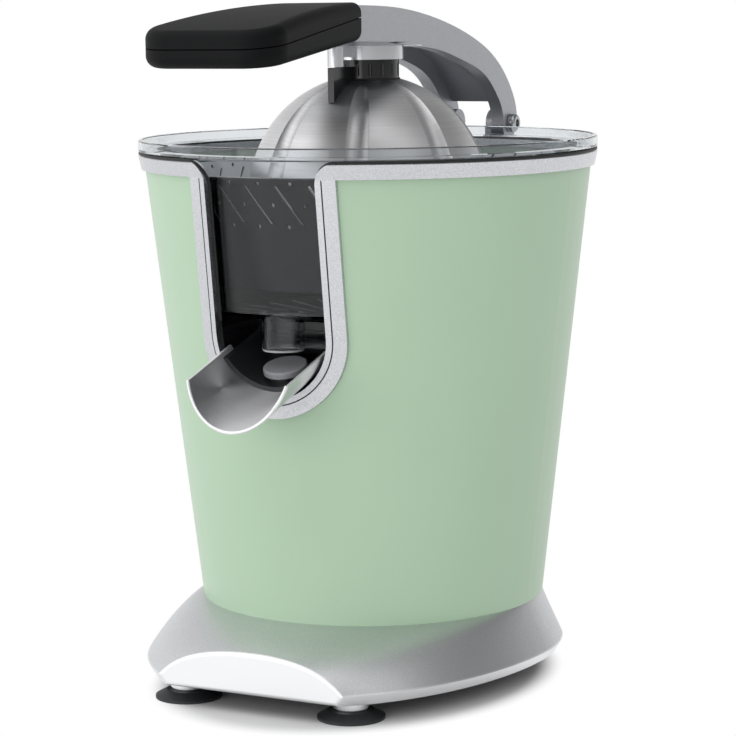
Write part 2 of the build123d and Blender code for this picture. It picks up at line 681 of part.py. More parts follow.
def make_strainer():
    """Pulp basket that hangs in the bowl, pierced high in its wall and in its floor."""
    wall = STRAINER_WALL
    floor_radius = strainer_radius(STRAINER_FLOOR_Z)
    under_flange = STRAINER_TOP_Z - wall
    brim = strainer_radius(under_flange)
    outer = brim + STRAINER_FLANGE
    lift = STRAINER_HUB_Z
    basket = ring(
        (STRAINER_HUB_RADIUS, lift),
        (floor_radius, STRAINER_FLOOR_Z),
        (brim, under_flange),
        (outer - 0.3, under_flange),
        (outer, STRAINER_TOP_Z),
        (brim - wall, STRAINER_TOP_Z),
        (floor_radius - wall, STRAINER_FLOOR_Z + wall),
        (STRAINER_HUB_RADIUS + wall, lift + wall),
        (STRAINER_HUB_RADIUS + wall, lift + 6),
        (STRAINER_HUB_RADIUS, lift + 6),
    )
    step = 360.0 / SLOT_COUNT
    depth = 8 * wall
    cutters = []
    for i in range(SLOT_COUNT):
        middle = Pos(strainer_radius(SLOT_MIDDLE_Z), 0, SLOT_MIDDLE_Z)
        slot = middle * Rot(SLOT_LEAN, 0, 0) * Box(depth, SLOT_WIDTH, SLOT_LENGTH)
        cutters.append(Rot(0, 0, (i + 0.5) * step) * slot)
        for row in HOLE_ROWS:
            high = SLOT_MIDDLE_Z + row * HOLE_PITCH
            lag = row * HOLE_PITCH * math.tan(math.radians(SLOT_LEAN)) / strainer_radius(high)
            hole = Pos(strainer_radius(high), 0, high) * Rot(0, 90, 0) * Cylinder(HOLE_RADIUS, depth)
            cutters.append(Rot(0, 0, i * step - math.degrees(lag)) * hole)
    floor_step = 360.0 / FLOOR_SLOT_COUNT
    inner = 2 * STRAINER_HUB_RADIUS
    reach = floor_radius - 5 * wall - inner
    for i in range(FLOOR_SLOT_COUNT):
        place = Pos(inner + reach / 2, 0, STRAINER_FLOOR_Z)
        slot = place * Box(reach, FLOOR_SLOT_WIDTH, 10 * wall)
        cutters.append(Rot(0, 0, (i + 0.5) * floor_step) * slot)
    return basket.cut(*[c.solid() for c in cutters])


def make_reamer_cone():
    """Ribbed reamer, hollow below, with a socket for the drive shaft."""
    high = REAMER_TOP_Z - REAMER_BOTTOM_Z
    levels = ((0.0, 1.0), (0.12, 0.94), (0.45, 0.68), (0.75, 0.38), (0.93, 0.14))
    flank = [(REAMER_RADIUS * r, REAMER_BOTTOM_Z + high * z) for z, r in levels]
    roof_radius = CHIMNEY_RADIUS + REAMER_WALL
    skirt = roof_radius + 2 * REAMER_WALL
    roof = CHIMNEY_TOP_Z + 2 * REAMER_WALL
    body = ring(
        (skirt, REAMER_BOTTOM_Z),
        *flank,
        (0, REAMER_TOP_Z),
        (0, roof),
        (roof_radius, roof),
    )
    body += rod(SHAFT_RADIUS + REAMER_WALL, roof - REAMER_WALL, roof + REAMER_WALL)
    nose = Cone(REAMER_NOSE_RADIUS, REAMER_NOSE_RADIUS / 2, REAMER_NOSE_HEIGHT, align=BOTTOM_UP)
    body += Pos(0, 0, REAMER_TOP_Z + 2 - REAMER_NOSE_HEIGHT) * nose
    fin = make_face(
        Polyline(
            (skirt + REAMER_WALL / 2, 0, REAMER_BOTTOM_Z + 1.0),
            *[(r + REAMER_RIB_HEIGHT, 0, z + 1.0) for r, z in flank],
            (REAMER_NOSE_RADIUS / 2 - 1, 0, REAMER_TOP_Z),
            (REAMER_NOSE_RADIUS / 2 - 1, 0, roof + 2 * REAMER_WALL),
            (roof_radius, 0, roof + REAMER_WALL),
            close=True,
        )
    )
    rib = extrude(fin, REAMER_RIB_WIDTH / 2, dir=(0, 1, 0), both=True)
    for i in range(REAMER_RIBS):
        body += Rot(0, 0, i * 360.0 / REAMER_RIBS) * rib
    return body - rod(SHAFT_RADIUS, REAMER_BOTTOM_Z, SHAFT_TOP_Z)


def flute_tube(grow):
    """Ring whose tube presses one flute into the dome, fading out towards the top."""
    reach = DOME_RADIUS + FLUTE_TUBE_RADIUS - FLUTE_DEPTH
    shift = FLUTE_DEPTH / (1 - math.cos(math.radians(FLUTE_RUN_OUT)))
    centre = Pos(-shift, 0, DOME_CENTRE_Z) * Rot(90, 0, 0)
    return centre * Torus(reach + shift, FLUTE_TUBE_RADIUS + grow)


def dome_form(radius, bottom, top, grow):
    """Solid half ball with flutes pressed in and its crown cut flat."""
    ball = Pos(0, 0, DOME_CENTRE_Z) * Sphere(radius)
    ball &= rod(2 * radius, bottom, top)
    for i in range(FLUTE_COUNT):
        turn = Rot(0, 0, (i + 0.5) * 360.0 / FLUTE_COUNT)
        half = turn * (flute_tube(grow) & Pos(DOME_RADIUS, 0, DOME_CENTRE_Z) * Box(
            2 * DOME_RADIUS - 8, 8 * FLUTE_TUBE_RADIUS, 4 * DOME_RADIUS
        ))
        ball -= half
    return ball


def make_press_dome():
    """Fluted steel dome that presses the fruit."""
    dome = dome_form(DOME_RADIUS, DOME_CENTRE_Z, DOME_TOP_Z, 0.0)
    dome -= dome_form(DOME_RADIUS - DOME_WALL, DOME_CENTRE_Z - 1, DOME_TOP_Z - DOME_WALL, DOME_WALL)
    return dome - rod(SCREW_RADIUS, DOME_TOP_Z - 2 * DOME_WALL, DOME_TOP_Z)


def make_dome_collar():
    """Black ribbed collar on the dome, with a fin that runs forward over it."""
    body = rod(COLLAR_RADIUS, DOME_TOP_Z, COLLAR_TOP_Z)
    for i in range(16):
        turn = Rot(0, 0, (i + 0.5) * 22.5)
        body -= turn * rod(0.9, DOME_TOP_Z + 2, COLLAR_TOP_Z - 2, COLLAR_RADIUS + 0.35)
    front = COLLAR_FIN_REACH
    clear = DOME_RADIUS + FIT_GAP
    back = COLLAR_RADIUS + 1.5
    places = [front + (back - front) * share for share in (0.0, 0.35, 0.7, 1.0)]
    curve = [(0, -y, DOME_CENTRE_Z + math.sqrt(clear * clear - y * y)) for y in places]
    crest = POST_BOSS_Y - POST_BOSS_RADIUS - 1
    low = ARM_FRONT_TOP_Z - ARM_DEPTH - POST_BOSS_DROP - FIT_GAP
    fin = make_face(
        Polyline(
            *curve,
            (0, -COLLAR_RADIUS + 2, DOME_TOP_Z + 0.5),
            (0, -COLLAR_RADIUS + 2, low),
            (0, crest, low),
            (0, -front, low - 1),
            close=True,
        )
    )
    body += extrude(fin, COLLAR_FIN_WIDTH / 2, dir=(1, 0, 0), both=True)
    return body - rod(SCREW_RADIUS, DOME_TOP_Z, COLLAR_TOP_Z)


def make_dome_screw():
    """Screw with a broad washer head that ties the dome to the arm."""
    head = DOME_TOP_Z - DOME_WALL
    stem = rod(SCREW_RADIUS, head, COLLAR_TOP_Z + ARM_RING_LAP)
    return stem + ring((0, head - 3), (5, head - 3), (9, head), (0, head))


# Lever arm, grip and hinge


def arm_side_face(drop):
    """Side view of the arm, its upper edge lowered by drop."""
    run, fall = HINGE_Y - ARM_FRONT_Y, ARM_FRONT_TOP_Z - HINGE_Z
    crest = [(ARM_FRONT_Y + run * along, ARM_FRONT_TOP_Z - fall * down) for along, down in ARM_CREST]
    belly = [(ARM_FRONT_Y + run * along, ARM_FRONT_TOP_Z - fall * down) for along, down in ARM_BELLY]
    heel = HINGE_Y + LEG_END_RADIUS
    upper = [*crest, (heel - 2.4, HINGE_Z + 11.0), (heel, HINGE_Z)]
    toe = (ARM_FRONT_Y, ARM_FRONT_TOP_Z - ARM_DEPTH)
    lower = [(HINGE_Y - LEG_END_RADIUS, HINGE_Z), *belly, toe]
    if drop:
        bend = ARM_FRONT_Y + 0.4 * run
        upper = [
            (y - drop * min(1.0, max(0.0, (y - bend) / (0.57 * run))), z - drop) for y, z in upper
        ]
    top = Spline(*[(0, y, z) for y, z in upper], tangents=((0, 1, -0.02), (0, 0, -1)))
    bottom = Spline(*[(0, y, z) for y, z in lower], tangents=((0, 0, 1), (0, -1, 0.02)))
    end = Line(top @ 1, bottom @ 0)
    front = Line(bottom @ 1, top @ 0)
    return make_face([top, end, bottom, front])


def grip_slope():
    """Downward slope of the grip, in degrees."""
    return math.degrees(math.atan2(GRIP_REAR_TOP_Z - GRIP_FRONT_TOP_Z, ARM_FRONT_Y - GRIP_FRONT_Y))


def make_tang(grow):
    """Flat tongue of the arm inside the grip, grown all round."""
    middle = (GRIP_REAR_TOP_Z + GRIP_FRONT_TOP_Z - GRIP_THICKNESS) / 2
    bar = Box(
        2 * (TANG_HALF_WIDTH + grow),
        TANG_LENGTH + 2 * grow,
        TANG_THICKNESS + 2 * grow,
    )
    centre_y = ARM_FRONT_Y - TANG_LENGTH / 2 + 4
    share = (centre_y - GRIP_FRONT_Y) / (ARM_FRONT_Y - GRIP_FRONT_Y)
    rise = (share - 0.5) * (GRIP_REAR_TOP_Z - GRIP_FRONT_TOP_Z)
    return Pos(0, centre_y, middle + rise) * Rot(grip_slope(), 0, 0) * bar


def make_lever_arm():
    """Silver channel arm with a forked rear end, the dome boss and the grip tongue."""
    arm = extrude(arm_side_face(0.0), ARM_HALF_WIDTH, dir=(1, 0, 0), both=True)
    crown = [
        e for e in arm.edges()
        if e.geom_type == GeomType.BSPLINE and abs(abs(e.center().X) - ARM_HALF_WIDTH) < 0.01
        and (e @ 0.0).Y < 0 < (e @ 1.0).Y and e.bounding_box().max.Z > ARM_FRONT_TOP_Z - 1
    ]
    arm = fillet(crown, 4.0)
    for side in (-1, 1):
        x0, x1 = side * LEG_INNER_X, side * ARM_HALF_WIDTH
        arm += cross_rod(LEG_END_RADIUS, x0, x1, HINGE_Y, HINGE_Z)
    hollow = extrude(arm_side_face(ARM_WALL), LEG_INNER_X, dir=(1, 0, 0), both=True)
    below = Pos(0, 0, -ARM_DEPTH * 0.7)
    room = hollow + below * hollow
    room &= Pos(0, ARM_RING_RADIUS + 2, 0) * Box(
        ARM_HALF_WIDTH * 2, 300, 400, align=(Align.CENTER, Align.MIN, Align.MIN)
    )
    arm -= room
    slot_low = HINGE_Z - 2 * LEG_END_RADIUS
    arm -= Pos(0, HINGE_Y, slot_low) * Box(
        2 * LEG_INNER_X, 6 * LEG_END_RADIUS, ARM_WEB_END_Z - slot_low, align=BOTTOM_UP
    )
    arm += rod(ARM_RING_RADIUS, COLLAR_TOP_Z, COLLAR_TOP_Z + ARM_RING_LAP + 2)
    low = ARM_FRONT_TOP_Z - ARM_DEPTH - POST_BOSS_DROP
    arm += rod(POST_BOSS_RADIUS, low, ARM_FRONT_TOP_Z - ARM_DEPTH + 3, 0, POST_BOSS_Y)
    web = make_face(
        Polyline(
            (0, POST_BOSS_Y, low + 5),
            (0, -ARM_RING_RADIUS + 2, COLLAR_TOP_Z + 1),
            (0, -ARM_RING_RADIUS + 2, ARM_FRONT_TOP_Z - ARM_DEPTH + 2),
            (0, POST_BOSS_Y, ARM_FRONT_TOP_Z - ARM_DEPTH + 2),
            close=True,
        )
    )
    arm += extrude(web, 2.4, dir=(1, 0, 0), both=True)
    arm += make_tang(0.0)
    for x, y in grip_screw_places():
        arm -= rod(SCREW_RADIUS, RIM_TOP_Z, ARM_FRONT_TOP_Z + 5, x, y)
    arm -= rod(SCREW_RADIUS, COLLAR_TOP_Z, COLLAR_TOP_Z + ARM_RING_LAP)
    bore = BOLT_RADIUS + BUSH_WALL
    return arm - cross_rod(bore, -2 * ARM_HALF_WIDTH, 2 * ARM_HALF_WIDTH, HINGE_Y, HINGE_Z)


def grip_form():
    """The whole grip: a widening, rounded palm piece that slopes down to the front."""
    front, rear = GRIP_FRONT_Y, ARM_FRONT_Y
    plan = make_face(
        Polyline(
            (-GRIP_REAR_HALF_WIDTH, rear),
            (-GRIP_FRONT_HALF_WIDTH, front),
            (GRIP_FRONT_HALF_WIDTH, front),
            (GRIP_REAR_HALF_WIDTH, rear),
            close=True,
        )
    )
    plan = fillet([v for v in plan.vertices() if v.Y < front + 1], GRIP_CORNER)
    solid = extrude(Pos(0, 0, RIM_TOP_Z) * plan, 2 * (GRIP_REAR_TOP_Z - RIM_TOP_Z), dir=(0, 0, 1))
    middle = (front + rear) / 2
    crown = ThreePointArc(
        (0, rear, GRIP_REAR_TOP_Z),
        (0, middle, (GRIP_REAR_TOP_Z + GRIP_FRONT_TOP_Z) / 2 + GRIP_CROWN),
        (0, front, GRIP_FRONT_TOP_Z),
    )
    under = Polyline(
        (0, front, GRIP_FRONT_TOP_Z),
        (0, front, GRIP_FRONT_TOP_Z - GRIP_THICKNESS + 1.5),
        (0, rear, GRIP_REAR_TOP_Z - GRIP_THICKNESS),
        (0, rear, GRIP_REAR_TOP_Z),
    )
    side = make_face([crown, *under.edges()])
    solid &= extrude(side, 2 * GRIP_FRONT_HALF_WIDTH, dir=(1, 0, 0), both=True)
    rim = [
        e
        for e in solid.edges()
        if e.center().Y < rear - 1 and abs((e @ 0).Z - (e @ 1).Z) < 0.9 * GRIP_THICKNESS
    ]
    solid = fillet(rim, GRIP_EDGE)
    low = GRIP_FRONT_TOP_Z - GRIP_THICKNESS + GRIP_SCOOP_DEPTH - GRIP_SCOOP_RADIUS
    wide = 2 * GRIP_FRONT_HALF_WIDTH
    return solid - cross_rod(GRIP_SCOOP_RADIUS, -wide, wide, front + 30, low)


def seam_side(above):
    """Half space over or under the slanted seam of the grip, with a narrow gap between."""
    margin = 20.0
    far = 60.0 if above else -60.0
    slope = (GRIP_SEAM_REAR_Z - GRIP_SEAM_FRONT_Z) / (ARM_FRONT_Y - GRIP_FRONT_Y)
    front, rear = GRIP_FRONT_Y - margin, ARM_FRONT_Y + margin
    gap = 0.0 if above else GRIP_SEAM_GAP
    z_front = GRIP_SEAM_FRONT_Z - margin * slope - gap
    z_rear = GRIP_SEAM_REAR_Z + margin * slope - gap
    face = make_face(
        Polyline(
            (0, front, z_front),
            (0, rear, z_rear),
            (0, rear, z_rear + far),
            (0, front, z_front + far),
            close=True,
        )
    )
    return extrude(face, 3 * GRIP_FRONT_HALF_WIDTH, dir=(1, 0, 0), both=True)


def grip_screw_places():
    """Screws that clamp the two grip halves to the arm's tongue."""
    return [(0.0, ARM_FRONT_Y - 0.3 * TANG_LENGTH), (0.0, ARM_FRONT_Y - 0.75 * TANG_LENGTH)]


def make_grip(above):
    """Upper or lower half of the grip, cut out round the arm's tongue."""
    half = (grip_form() & seam_side(above)) - make_tang(0.1)
    half -= make_tang(0.1).moved(Location((0, TANG_LENGTH / 3, 0)))
    for x, y in grip_screw_places():
        low = GRIP_FRONT_TOP_Z - 2 * GRIP_THICKNESS
        half -= rod(SCREW_RADIUS, low, grip_mid(y) + 6, x, y)
        half -= rod(SCREW_HEAD_RADIUS + FIT_GAP, low, grip_mid(y) - 5, x, y)
    return half


def grip_mid(y):
    """Height of the grip's middle plane at y."""
    share = (y - GRIP_FRONT_Y) / (ARM_FRONT_Y - GRIP_FRONT_Y)
    return GRIP_FRONT_TOP_Z - GRIP_THICKNESS / 2 + share * (GRIP_REAR_TOP_Z - GRIP_FRONT_TOP_Z)


def make_grip_screws():
    """Screws sunk in the underside of the grip."""
    return joined(screw(grip_mid(y) - 5, grip_mid(y) + 6, x, y) for x, y in grip_screw_places())


def make_hinge_bolts():
    """Shoulder bolts, one through each leg of the arm into the bracket's ears."""
    bolts = []
    inner = LEG_INNER_X - EAR_GAP - EAR_THICKNESS
    for side in (-1, 1):
        outer = ARM_HALF_WIDTH + EAR_GAP
        bolt = cross_rod(BOLT_RADIUS, side * inner, side * outer, HINGE_Y, HINGE_Z)
        head = cross_rod(
            BOLT_HEAD_RADIUS, side * outer, side * (outer + BOLT_HEAD_HEIGHT), HINGE_Y, HINGE_Z
        )
        face = outer + BOLT_HEAD_HEIGHT
        rim = [e for e in head.edges() if abs(abs(e.center().X) - face) < 0.01]
        bolt += fillet(rim, BOLT_HEAD_ROUND)
        hexagon = extrude(RegularPolygon(BOLT_SOCKET_RADIUS, 6), BOLT_SOCKET_DEPTH, both=True)
        bolts.append(bolt - Pos(side * face, HINGE_Y, HINGE_Z) * Rot(0, 90, 0) * hexagon)
    return joined(bolts)


def make_hinge_bushes():
    """Plain bushes pressed in the legs of the arm."""
    bushes = []
    for side in (-1, 1):
        x0, x1 = side * LEG_INNER_X, side * ARM_HALF_WIDTH
        bush = cross_rod(BOLT_RADIUS + BUSH_WALL, x0, x1, HINGE_Y, HINGE_Z)
        bushes.append(bush - cross_rod(BOLT_RADIUS + RUNNING_GAP, x0, x1, HINGE_Y, HINGE_Z))
    return joined(bushes)


# Tilting spout


def spout_pose():
    """Places the spout, drawn level about its pivot, in its lowered pouring pose."""
    return Pos(0, PIVOT_Y, NOZZLE_BOTTOM_Z) * Rot(SPOUT_TILT, 0, 0)


def trough(outer, inner, rear, front, edge):
    """Level half-pipe, open above, that runs forward from the pivot."""
    drop = SPOUT_ARC_RISE - edge
    wide, narrow = math.sqrt(outer * outer - drop * drop), math.sqrt(inner * inner - drop * drop)
    under = ThreePointArc((-wide, -rear, edge), (0, -rear, SPOUT_ARC_RISE - outer), (wide, -rear, edge))
    over = ThreePointArc((narrow, -rear, edge), (0, -rear, SPOUT_ARC_RISE - inner), (-narrow, -rear, edge))
    section = make_face([under, Line(under @ 1, over @ 0), over, Line(over @ 1, under @ 0)])
    return extrude(section, front - rear, dir=(0, -1, 0))


def make_spout_trough():
    """Brushed steel spout with a rolled lip, its mouth cut upright in the pouring pose."""
    steel = trough(
        SPOUT_RADIUS, SPOUT_RADIUS - SPOUT_WALL, SPOUT_REAR, SPOUT_FRONT + 24, SPOUT_EDGE_RISE
    )
    mouth = Pos(0, -SPOUT_FRONT, SPOUT_EDGE_RISE) * Rot(-SPOUT_TILT - SPOUT_MOUTH_LEAN, 0, 0)
    steel -= mouth * Box(6 * SPOUT_RADIUS, 60, 200, align=(Align.CENTER, Align.MAX, Align.CENTER))
    return spout_pose() * steel


def make_spout_carrier():
    """Black tray that holds the spout and the pad, with a barrel on the pivot."""
    fit = SPOUT_RADIUS - SPOUT_WALL
    wall = CARRIER_WALL
    tray = trough(fit, fit - wall, 1.5 - BARREL_RADIUS, CARRIER_FRONT, SPOUT_EDGE_RISE - 2)
    half = NICHE_RADIUS - BARREL_RADIUS + 1.2
    tray += cross_rod(BARREL_RADIUS, -half, half, 0, 0)
    floor = SPOUT_ARC_RISE - fit
    tray += Pos(0, NOZZLE_Y - PIVOT_Y, floor + wall / 2) * Cylinder(
        PAD_RADIUS - 1.5, -PAD_GAP - PAD_THICKNESS - floor - wall / 2, align=BOTTOM_UP
    )
    tray -= cross_rod(PIVOT_RADIUS + RUNNING_GAP, -2 * half, 2 * half, 0, 0)
    return spout_pose() * tray


def make_drip_pad():
    """Soft grey pad that closes the nozzle when the spout is tipped up."""
    pad = Pos(0, NOZZLE_Y - PIVOT_Y, -PAD_GAP - PAD_THICKNESS) * Cylinder(
        PAD_RADIUS, PAD_THICKNESS, align=BOTTOM_UP
    )
    pad = fillet(pad.edges().group_by(Axis.Z)[-1], 1.0)
    return spout_pose() * pad


def make_spout_pin():
    """Pivot pin of the spout, held in the walls of the niche."""
    half = NICHE_RADIUS + NICHE_WALL
    return cross_rod(PIVOT_RADIUS, -half, half, PIVOT_Y, NOZZLE_BOTTOM_Z)


# Motor and gears


def gear_face(teeth, phase):
    """Outline of a spur gear with short teeth, one tooth turned to the phase angle."""
    pitch = GEAR_MODULE * teeth / 2
    base = pitch * math.cos(PRESSURE_ANGLE)
    root = pitch - TOOTH_DEDENDUM * GEAR_MODULE
    tip = pitch + TOOTH_ADDENDUM * GEAR_MODULE
    involute = math.tan(PRESSURE_ANGLE) - PRESSURE_ANGLE
    half = math.pi / (2 * teeth) - TOOTH_BACKLASH / (4 * pitch) + involute

    def flank(radius):
        lean = math.acos(min(1.0, base / radius))
        return half - math.tan(lean) + lean

    radii = [root, max(root + 0.05, base), pitch, tip]
    points = []
    for i in range(teeth):
        middle = math.radians(phase) + 2 * math.pi * i / teeth
        rise = [(r, middle - flank(max(r, base))) for r in radii]
        fall = [(r, middle + flank(max(r, base))) for r in reversed(radii)]
        points += [(r * math.cos(t), r * math.sin(t)) for r, t in rise + fall]
    return make_face(Polyline(*points, close=True))


def gear(teeth, phase, bottom, top):
    """Spur gear on the drive axis."""
    return extrude(Pos(0, 0, bottom) * gear_face(teeth, phase), top - bottom, dir=(0, 0, 1))


def slot_plate(radius, bottom, top):
    """Upright block round both gear axes."""
    outline = Pos(0, GEAR_CENTRES / 2) * Rot(0, 0, 90) * SlotCenterToCenter(GEAR_CENTRES, 2 * radius)
    return extrude(Pos(0, 0, bottom) * outline, top - bottom, dir=(0, 0, 1))


def motor_bolt_places():
    """The four long bolts through the stator's corners."""
    return mirrored_x(MOTOR_BOLT_OFFSET, -MOTOR_BOLT_OFFSET) + mirrored_x(
        MOTOR_BOLT_OFFSET, MOTOR_BOLT_OFFSET
    )


def mount_places():
    """Where the motor stands on the base."""
    return [
        (MOUNT_RING * math.cos(math.radians(a)), MOUNT_RING * math.sin(math.radians(a)))
        for a in (0, 90, 180, 270)
    ]


def make_motor_mounts():
    """Rubber blocks between the base and the motor's lower bracket."""
    return joined(rod(MOUNT_RADIUS, SHELL_BOTTOM_Z, LOWER_BRACKET_Z, x, y) for x, y in mount_places())


def make_lower_bracket():
    """Cross-shaped bracket with the lower motor bearing."""
    top = LOWER_BRACKET_Z + BRACKET_PLATE
    plate = Pos(0, 0, LOWER_BRACKET_Z) * Box(STATOR_SIDE, STATOR_SIDE, BRACKET_PLATE, align=BOTTOM_UP)
    reach = 2 * (MOUNT_RING + MOUNT_RADIUS / 2)
    plate += Pos(0, 0, LOWER_BRACKET_Z) * Box(reach, 2 * MOUNT_RADIUS, BRACKET_PLATE, align=BOTTOM_UP)
    plate += Pos(0, 0, LOWER_BRACKET_Z) * Box(2 * MOUNT_RADIUS, reach, BRACKET_PLATE, align=BOTTOM_UP)
    plate += rod(MOTOR_BUSH_RADIUS + 2.5, LOWER_BRACKET_Z, LOWER_BRACKET_Z + MOTOR_BUSH_HEIGHT)
    for x, y in motor_bolt_places():
        plate += rod(2 * MOTOR_BOLT_RADIUS, top, STATOR_BOTTOM_Z, x, y)
        plate -= rod(MOTOR_BOLT_RADIUS, LOWER_BRACKET_Z, STATOR_BOTTOM_Z, x, y)
    return plate - rod(MOTOR_BUSH_RADIUS, LOWER_BRACKET_Z, STATOR_BOTTOM_Z)


def make_stator():
    """Laminated stack with a round bore."""
    sheet = RectangleRounded(STATOR_SIDE, STATOR_SIDE, STATOR_CORNER)
    stack = extrude(Pos(0, 0, STATOR_BOTTOM_Z) * sheet, STATOR_HEIGHT, dir=(0, 0, 1))
    stack -= rod(STATOR_BORE, STATOR_BOTTOM_Z, STATOR_BOTTOM_Z + STATOR_HEIGHT)
    for x, y in motor_bolt_places():
        stack -= rod(MOTOR_BOLT_RADIUS, STATOR_BOTTOM_Z, STATOR_BOTTOM_Z + STATOR_HEIGHT, x, y)
    return stack


def make_windings():
    """Copper end turns above and below the stack."""
    inner, outer = STATOR_BORE + 2, STATOR_SIDE / 2 - 4
    top = STATOR_BOTTOM_Z + STATOR_HEIGHT
    return joined(
        [
            ring((inner, z0), (outer, z0), (outer - 2, z1), (inner + 2, z1))
            for z0, z1 in ((top, top + 7), (STATOR_BOTTOM_Z, STATOR_BOTTOM_Z - 7))
        ]
    )


def make_motor_bolts():
    """Long bolts that clamp the stator between its brackets."""
    top = UPPER_BRACKET_Z + BRACKET_PLATE
    bolts = [
        rod(MOTOR_BOLT_RADIUS, LOWER_BRACKET_Z, top, x, y)
        + rod(1.8 * MOTOR_BOLT_RADIUS, LOWER_BRACKET_Z - 2.5, LOWER_BRACKET_Z, x, y)
        for x, y in motor_bolt_places()
    ]
    return joined(bolts)


def make_upper_bracket():
    """Plate over the motor that is also the floor of the gearbox."""
    top = UPPER_BRACKET_Z + BRACKET_PLATE
    plate = slot_plate(GEARBOX_RADIUS, UPPER_BRACKET_Z, top)
    plate += Pos(0, 0, UPPER_BRACKET_Z) * Box(STATOR_SIDE, STATOR_SIDE, BRACKET_PLATE, align=BOTTOM_UP)
    plate += rod(MOTOR_BUSH_RADIUS + 2.5, top - MOTOR_BUSH_HEIGHT + 1, top + 1)
    for x, y in motor_bolt_places():
        plate += rod(2 * MOTOR_BOLT_RADIUS, STATOR_BOTTOM_Z + STATOR_HEIGHT, UPPER_BRACKET_Z, x, y)
        plate -= rod(MOTOR_BOLT_RADIUS, STATOR_BOTTOM_Z, top, x, y)
    plate -= rod(IDLER_PIN_RADIUS, UPPER_BRACKET_Z, top, 0, GEAR_CENTRES)
    for x, y in gearbox_screw_places():
        plate -= rod(SCREW_RADIUS, UPPER_BRACKET_Z, top, x, y)
    return plate - rod(MOTOR_BUSH_RADIUS, STATOR_BOTTOM_Z, top + 1)


def make_motor_bushes():
    """Sintered bushes in the two motor brackets."""
    upper = UPPER_BRACKET_Z + BRACKET_PLATE + 1
    bore = MOTOR_SHAFT_RADIUS + RUNNING_GAP
    low = tube(MOTOR_BUSH_RADIUS, bore, LOWER_BRACKET_Z, LOWER_BRACKET_Z + MOTOR_BUSH_HEIGHT)
    return low + tube(MOTOR_BUSH_RADIUS, bore, upper - MOTOR_BUSH_HEIGHT, upper)


def make_rotor_core():
    """Rotor stack on the motor shaft."""
    low, high = STATOR_BOTTOM_Z - 1, STATOR_BOTTOM_Z + STATOR_HEIGHT + 1
    return tube(STATOR_BORE - ROTOR_GAP, MOTOR_SHAFT_RADIUS, low, high)


def make_motor_shaft():
    """Steel shaft of the motor."""
    return rod(MOTOR_SHAFT_RADIUS, MOTOR_SHAFT_BOTTOM_Z, FIRST_STAGE_Z + STAGE_HEIGHT)


def make_motor_pinion():
    """Small gear on the end of the motor shaft."""
    pinion = gear(PINION_TEETH, 90.0, FIRST_STAGE_Z - 1, FIRST_STAGE_Z + STAGE_HEIGHT)
    return pinion - rod(MOTOR_SHAFT_RADIUS, FIRST_STAGE_Z - 1, FIRST_STAGE_Z + STAGE_HEIGHT)


def make_cooling_fan():
    """Fan on the lower end of the motor shaft."""
    low = MOTOR_SHAFT_BOTTOM_Z
    fan = tube(MOTOR_SHAFT_RADIUS + 5, MOTOR_SHAFT_RADIUS, low, low + 6)
    fan += tube(FAN_RADIUS, MOTOR_SHAFT_RADIUS + 4, low + 4.6, low + 6)
    for i in range(FAN_BLADES):
        turn = Rot(0, 0, i * 360.0 / FAN_BLADES)
        blade = Pos(FAN_RADIUS / 2 + 4, 0, low) * Box(FAN_RADIUS - 12, 1.6, 5.2, align=BOTTOM_UP)
        fan += turn * blade
    return fan


def make_idler_gear():
    """Wheel and pinion in one, between the motor and the output gear."""
    top = SECOND_STAGE_Z + STAGE_HEIGHT
    wheel = gear(WHEEL_TEETH, 3.0, FIRST_STAGE_Z, FIRST_STAGE_Z + STAGE_HEIGHT)
    wheel += gear(PINION_TEETH, 6.0, FIRST_STAGE_Z + STAGE_HEIGHT, top + 0.5)
    wheel += rod(GEAR_MODULE * PINION_TEETH / 2 - 1.5, FIRST_STAGE_Z - 3, top + 3)
    wheel -= rod(IDLER_PIN_RADIUS + RUNNING_GAP, FIRST_STAGE_Z - 3, top + 3)
    return Pos(0, GEAR_CENTRES, 0) * wheel


def make_idler_pin():
    """Fixed pin of the idler."""
    return rod(IDLER_PIN_RADIUS, UPPER_BRACKET_Z, GEARBOX_TOP_Z, 0, GEAR_CENTRES)


def shaft_section(radius, flat, bottom, top):
    """Round bar with one flat, so that it turns what it slides in."""
    bar = rod(radius, bottom, top)
    return bar & Pos(0, flat, bottom) * Box(
        4 * radius, 4 * radius, 4 * (top - bottom), align=(Align.CENTER, Align.MAX, Align.CENTER)
    )


def make_output_gear():
    """Large gear whose hub turns the shaft and lets it slide."""
    wheel = gear(WHEEL_TEETH, 3.0, SECOND_STAGE_Z, SECOND_STAGE_Z + STAGE_HEIGHT)
    wheel += rod(HUB_RADIUS, SECOND_STAGE_Z, HUB_TOP_Z)
    return wheel - shaft_section(
        SHAFT_RADIUS + SLIDE_GAP, SHAFT_FLAT + SLIDE_GAP, SECOND_STAGE_Z, HUB_TOP_Z
    )


def gearbox_screw_places():
    """Screws that hold the gearbox cover on its floor."""
    side = GEARBOX_RADIUS - GEARBOX_WALL
    return mirrored_x(side, 0.25 * GEAR_CENTRES) + mirrored_x(side, 0.75 * GEAR_CENTRES)


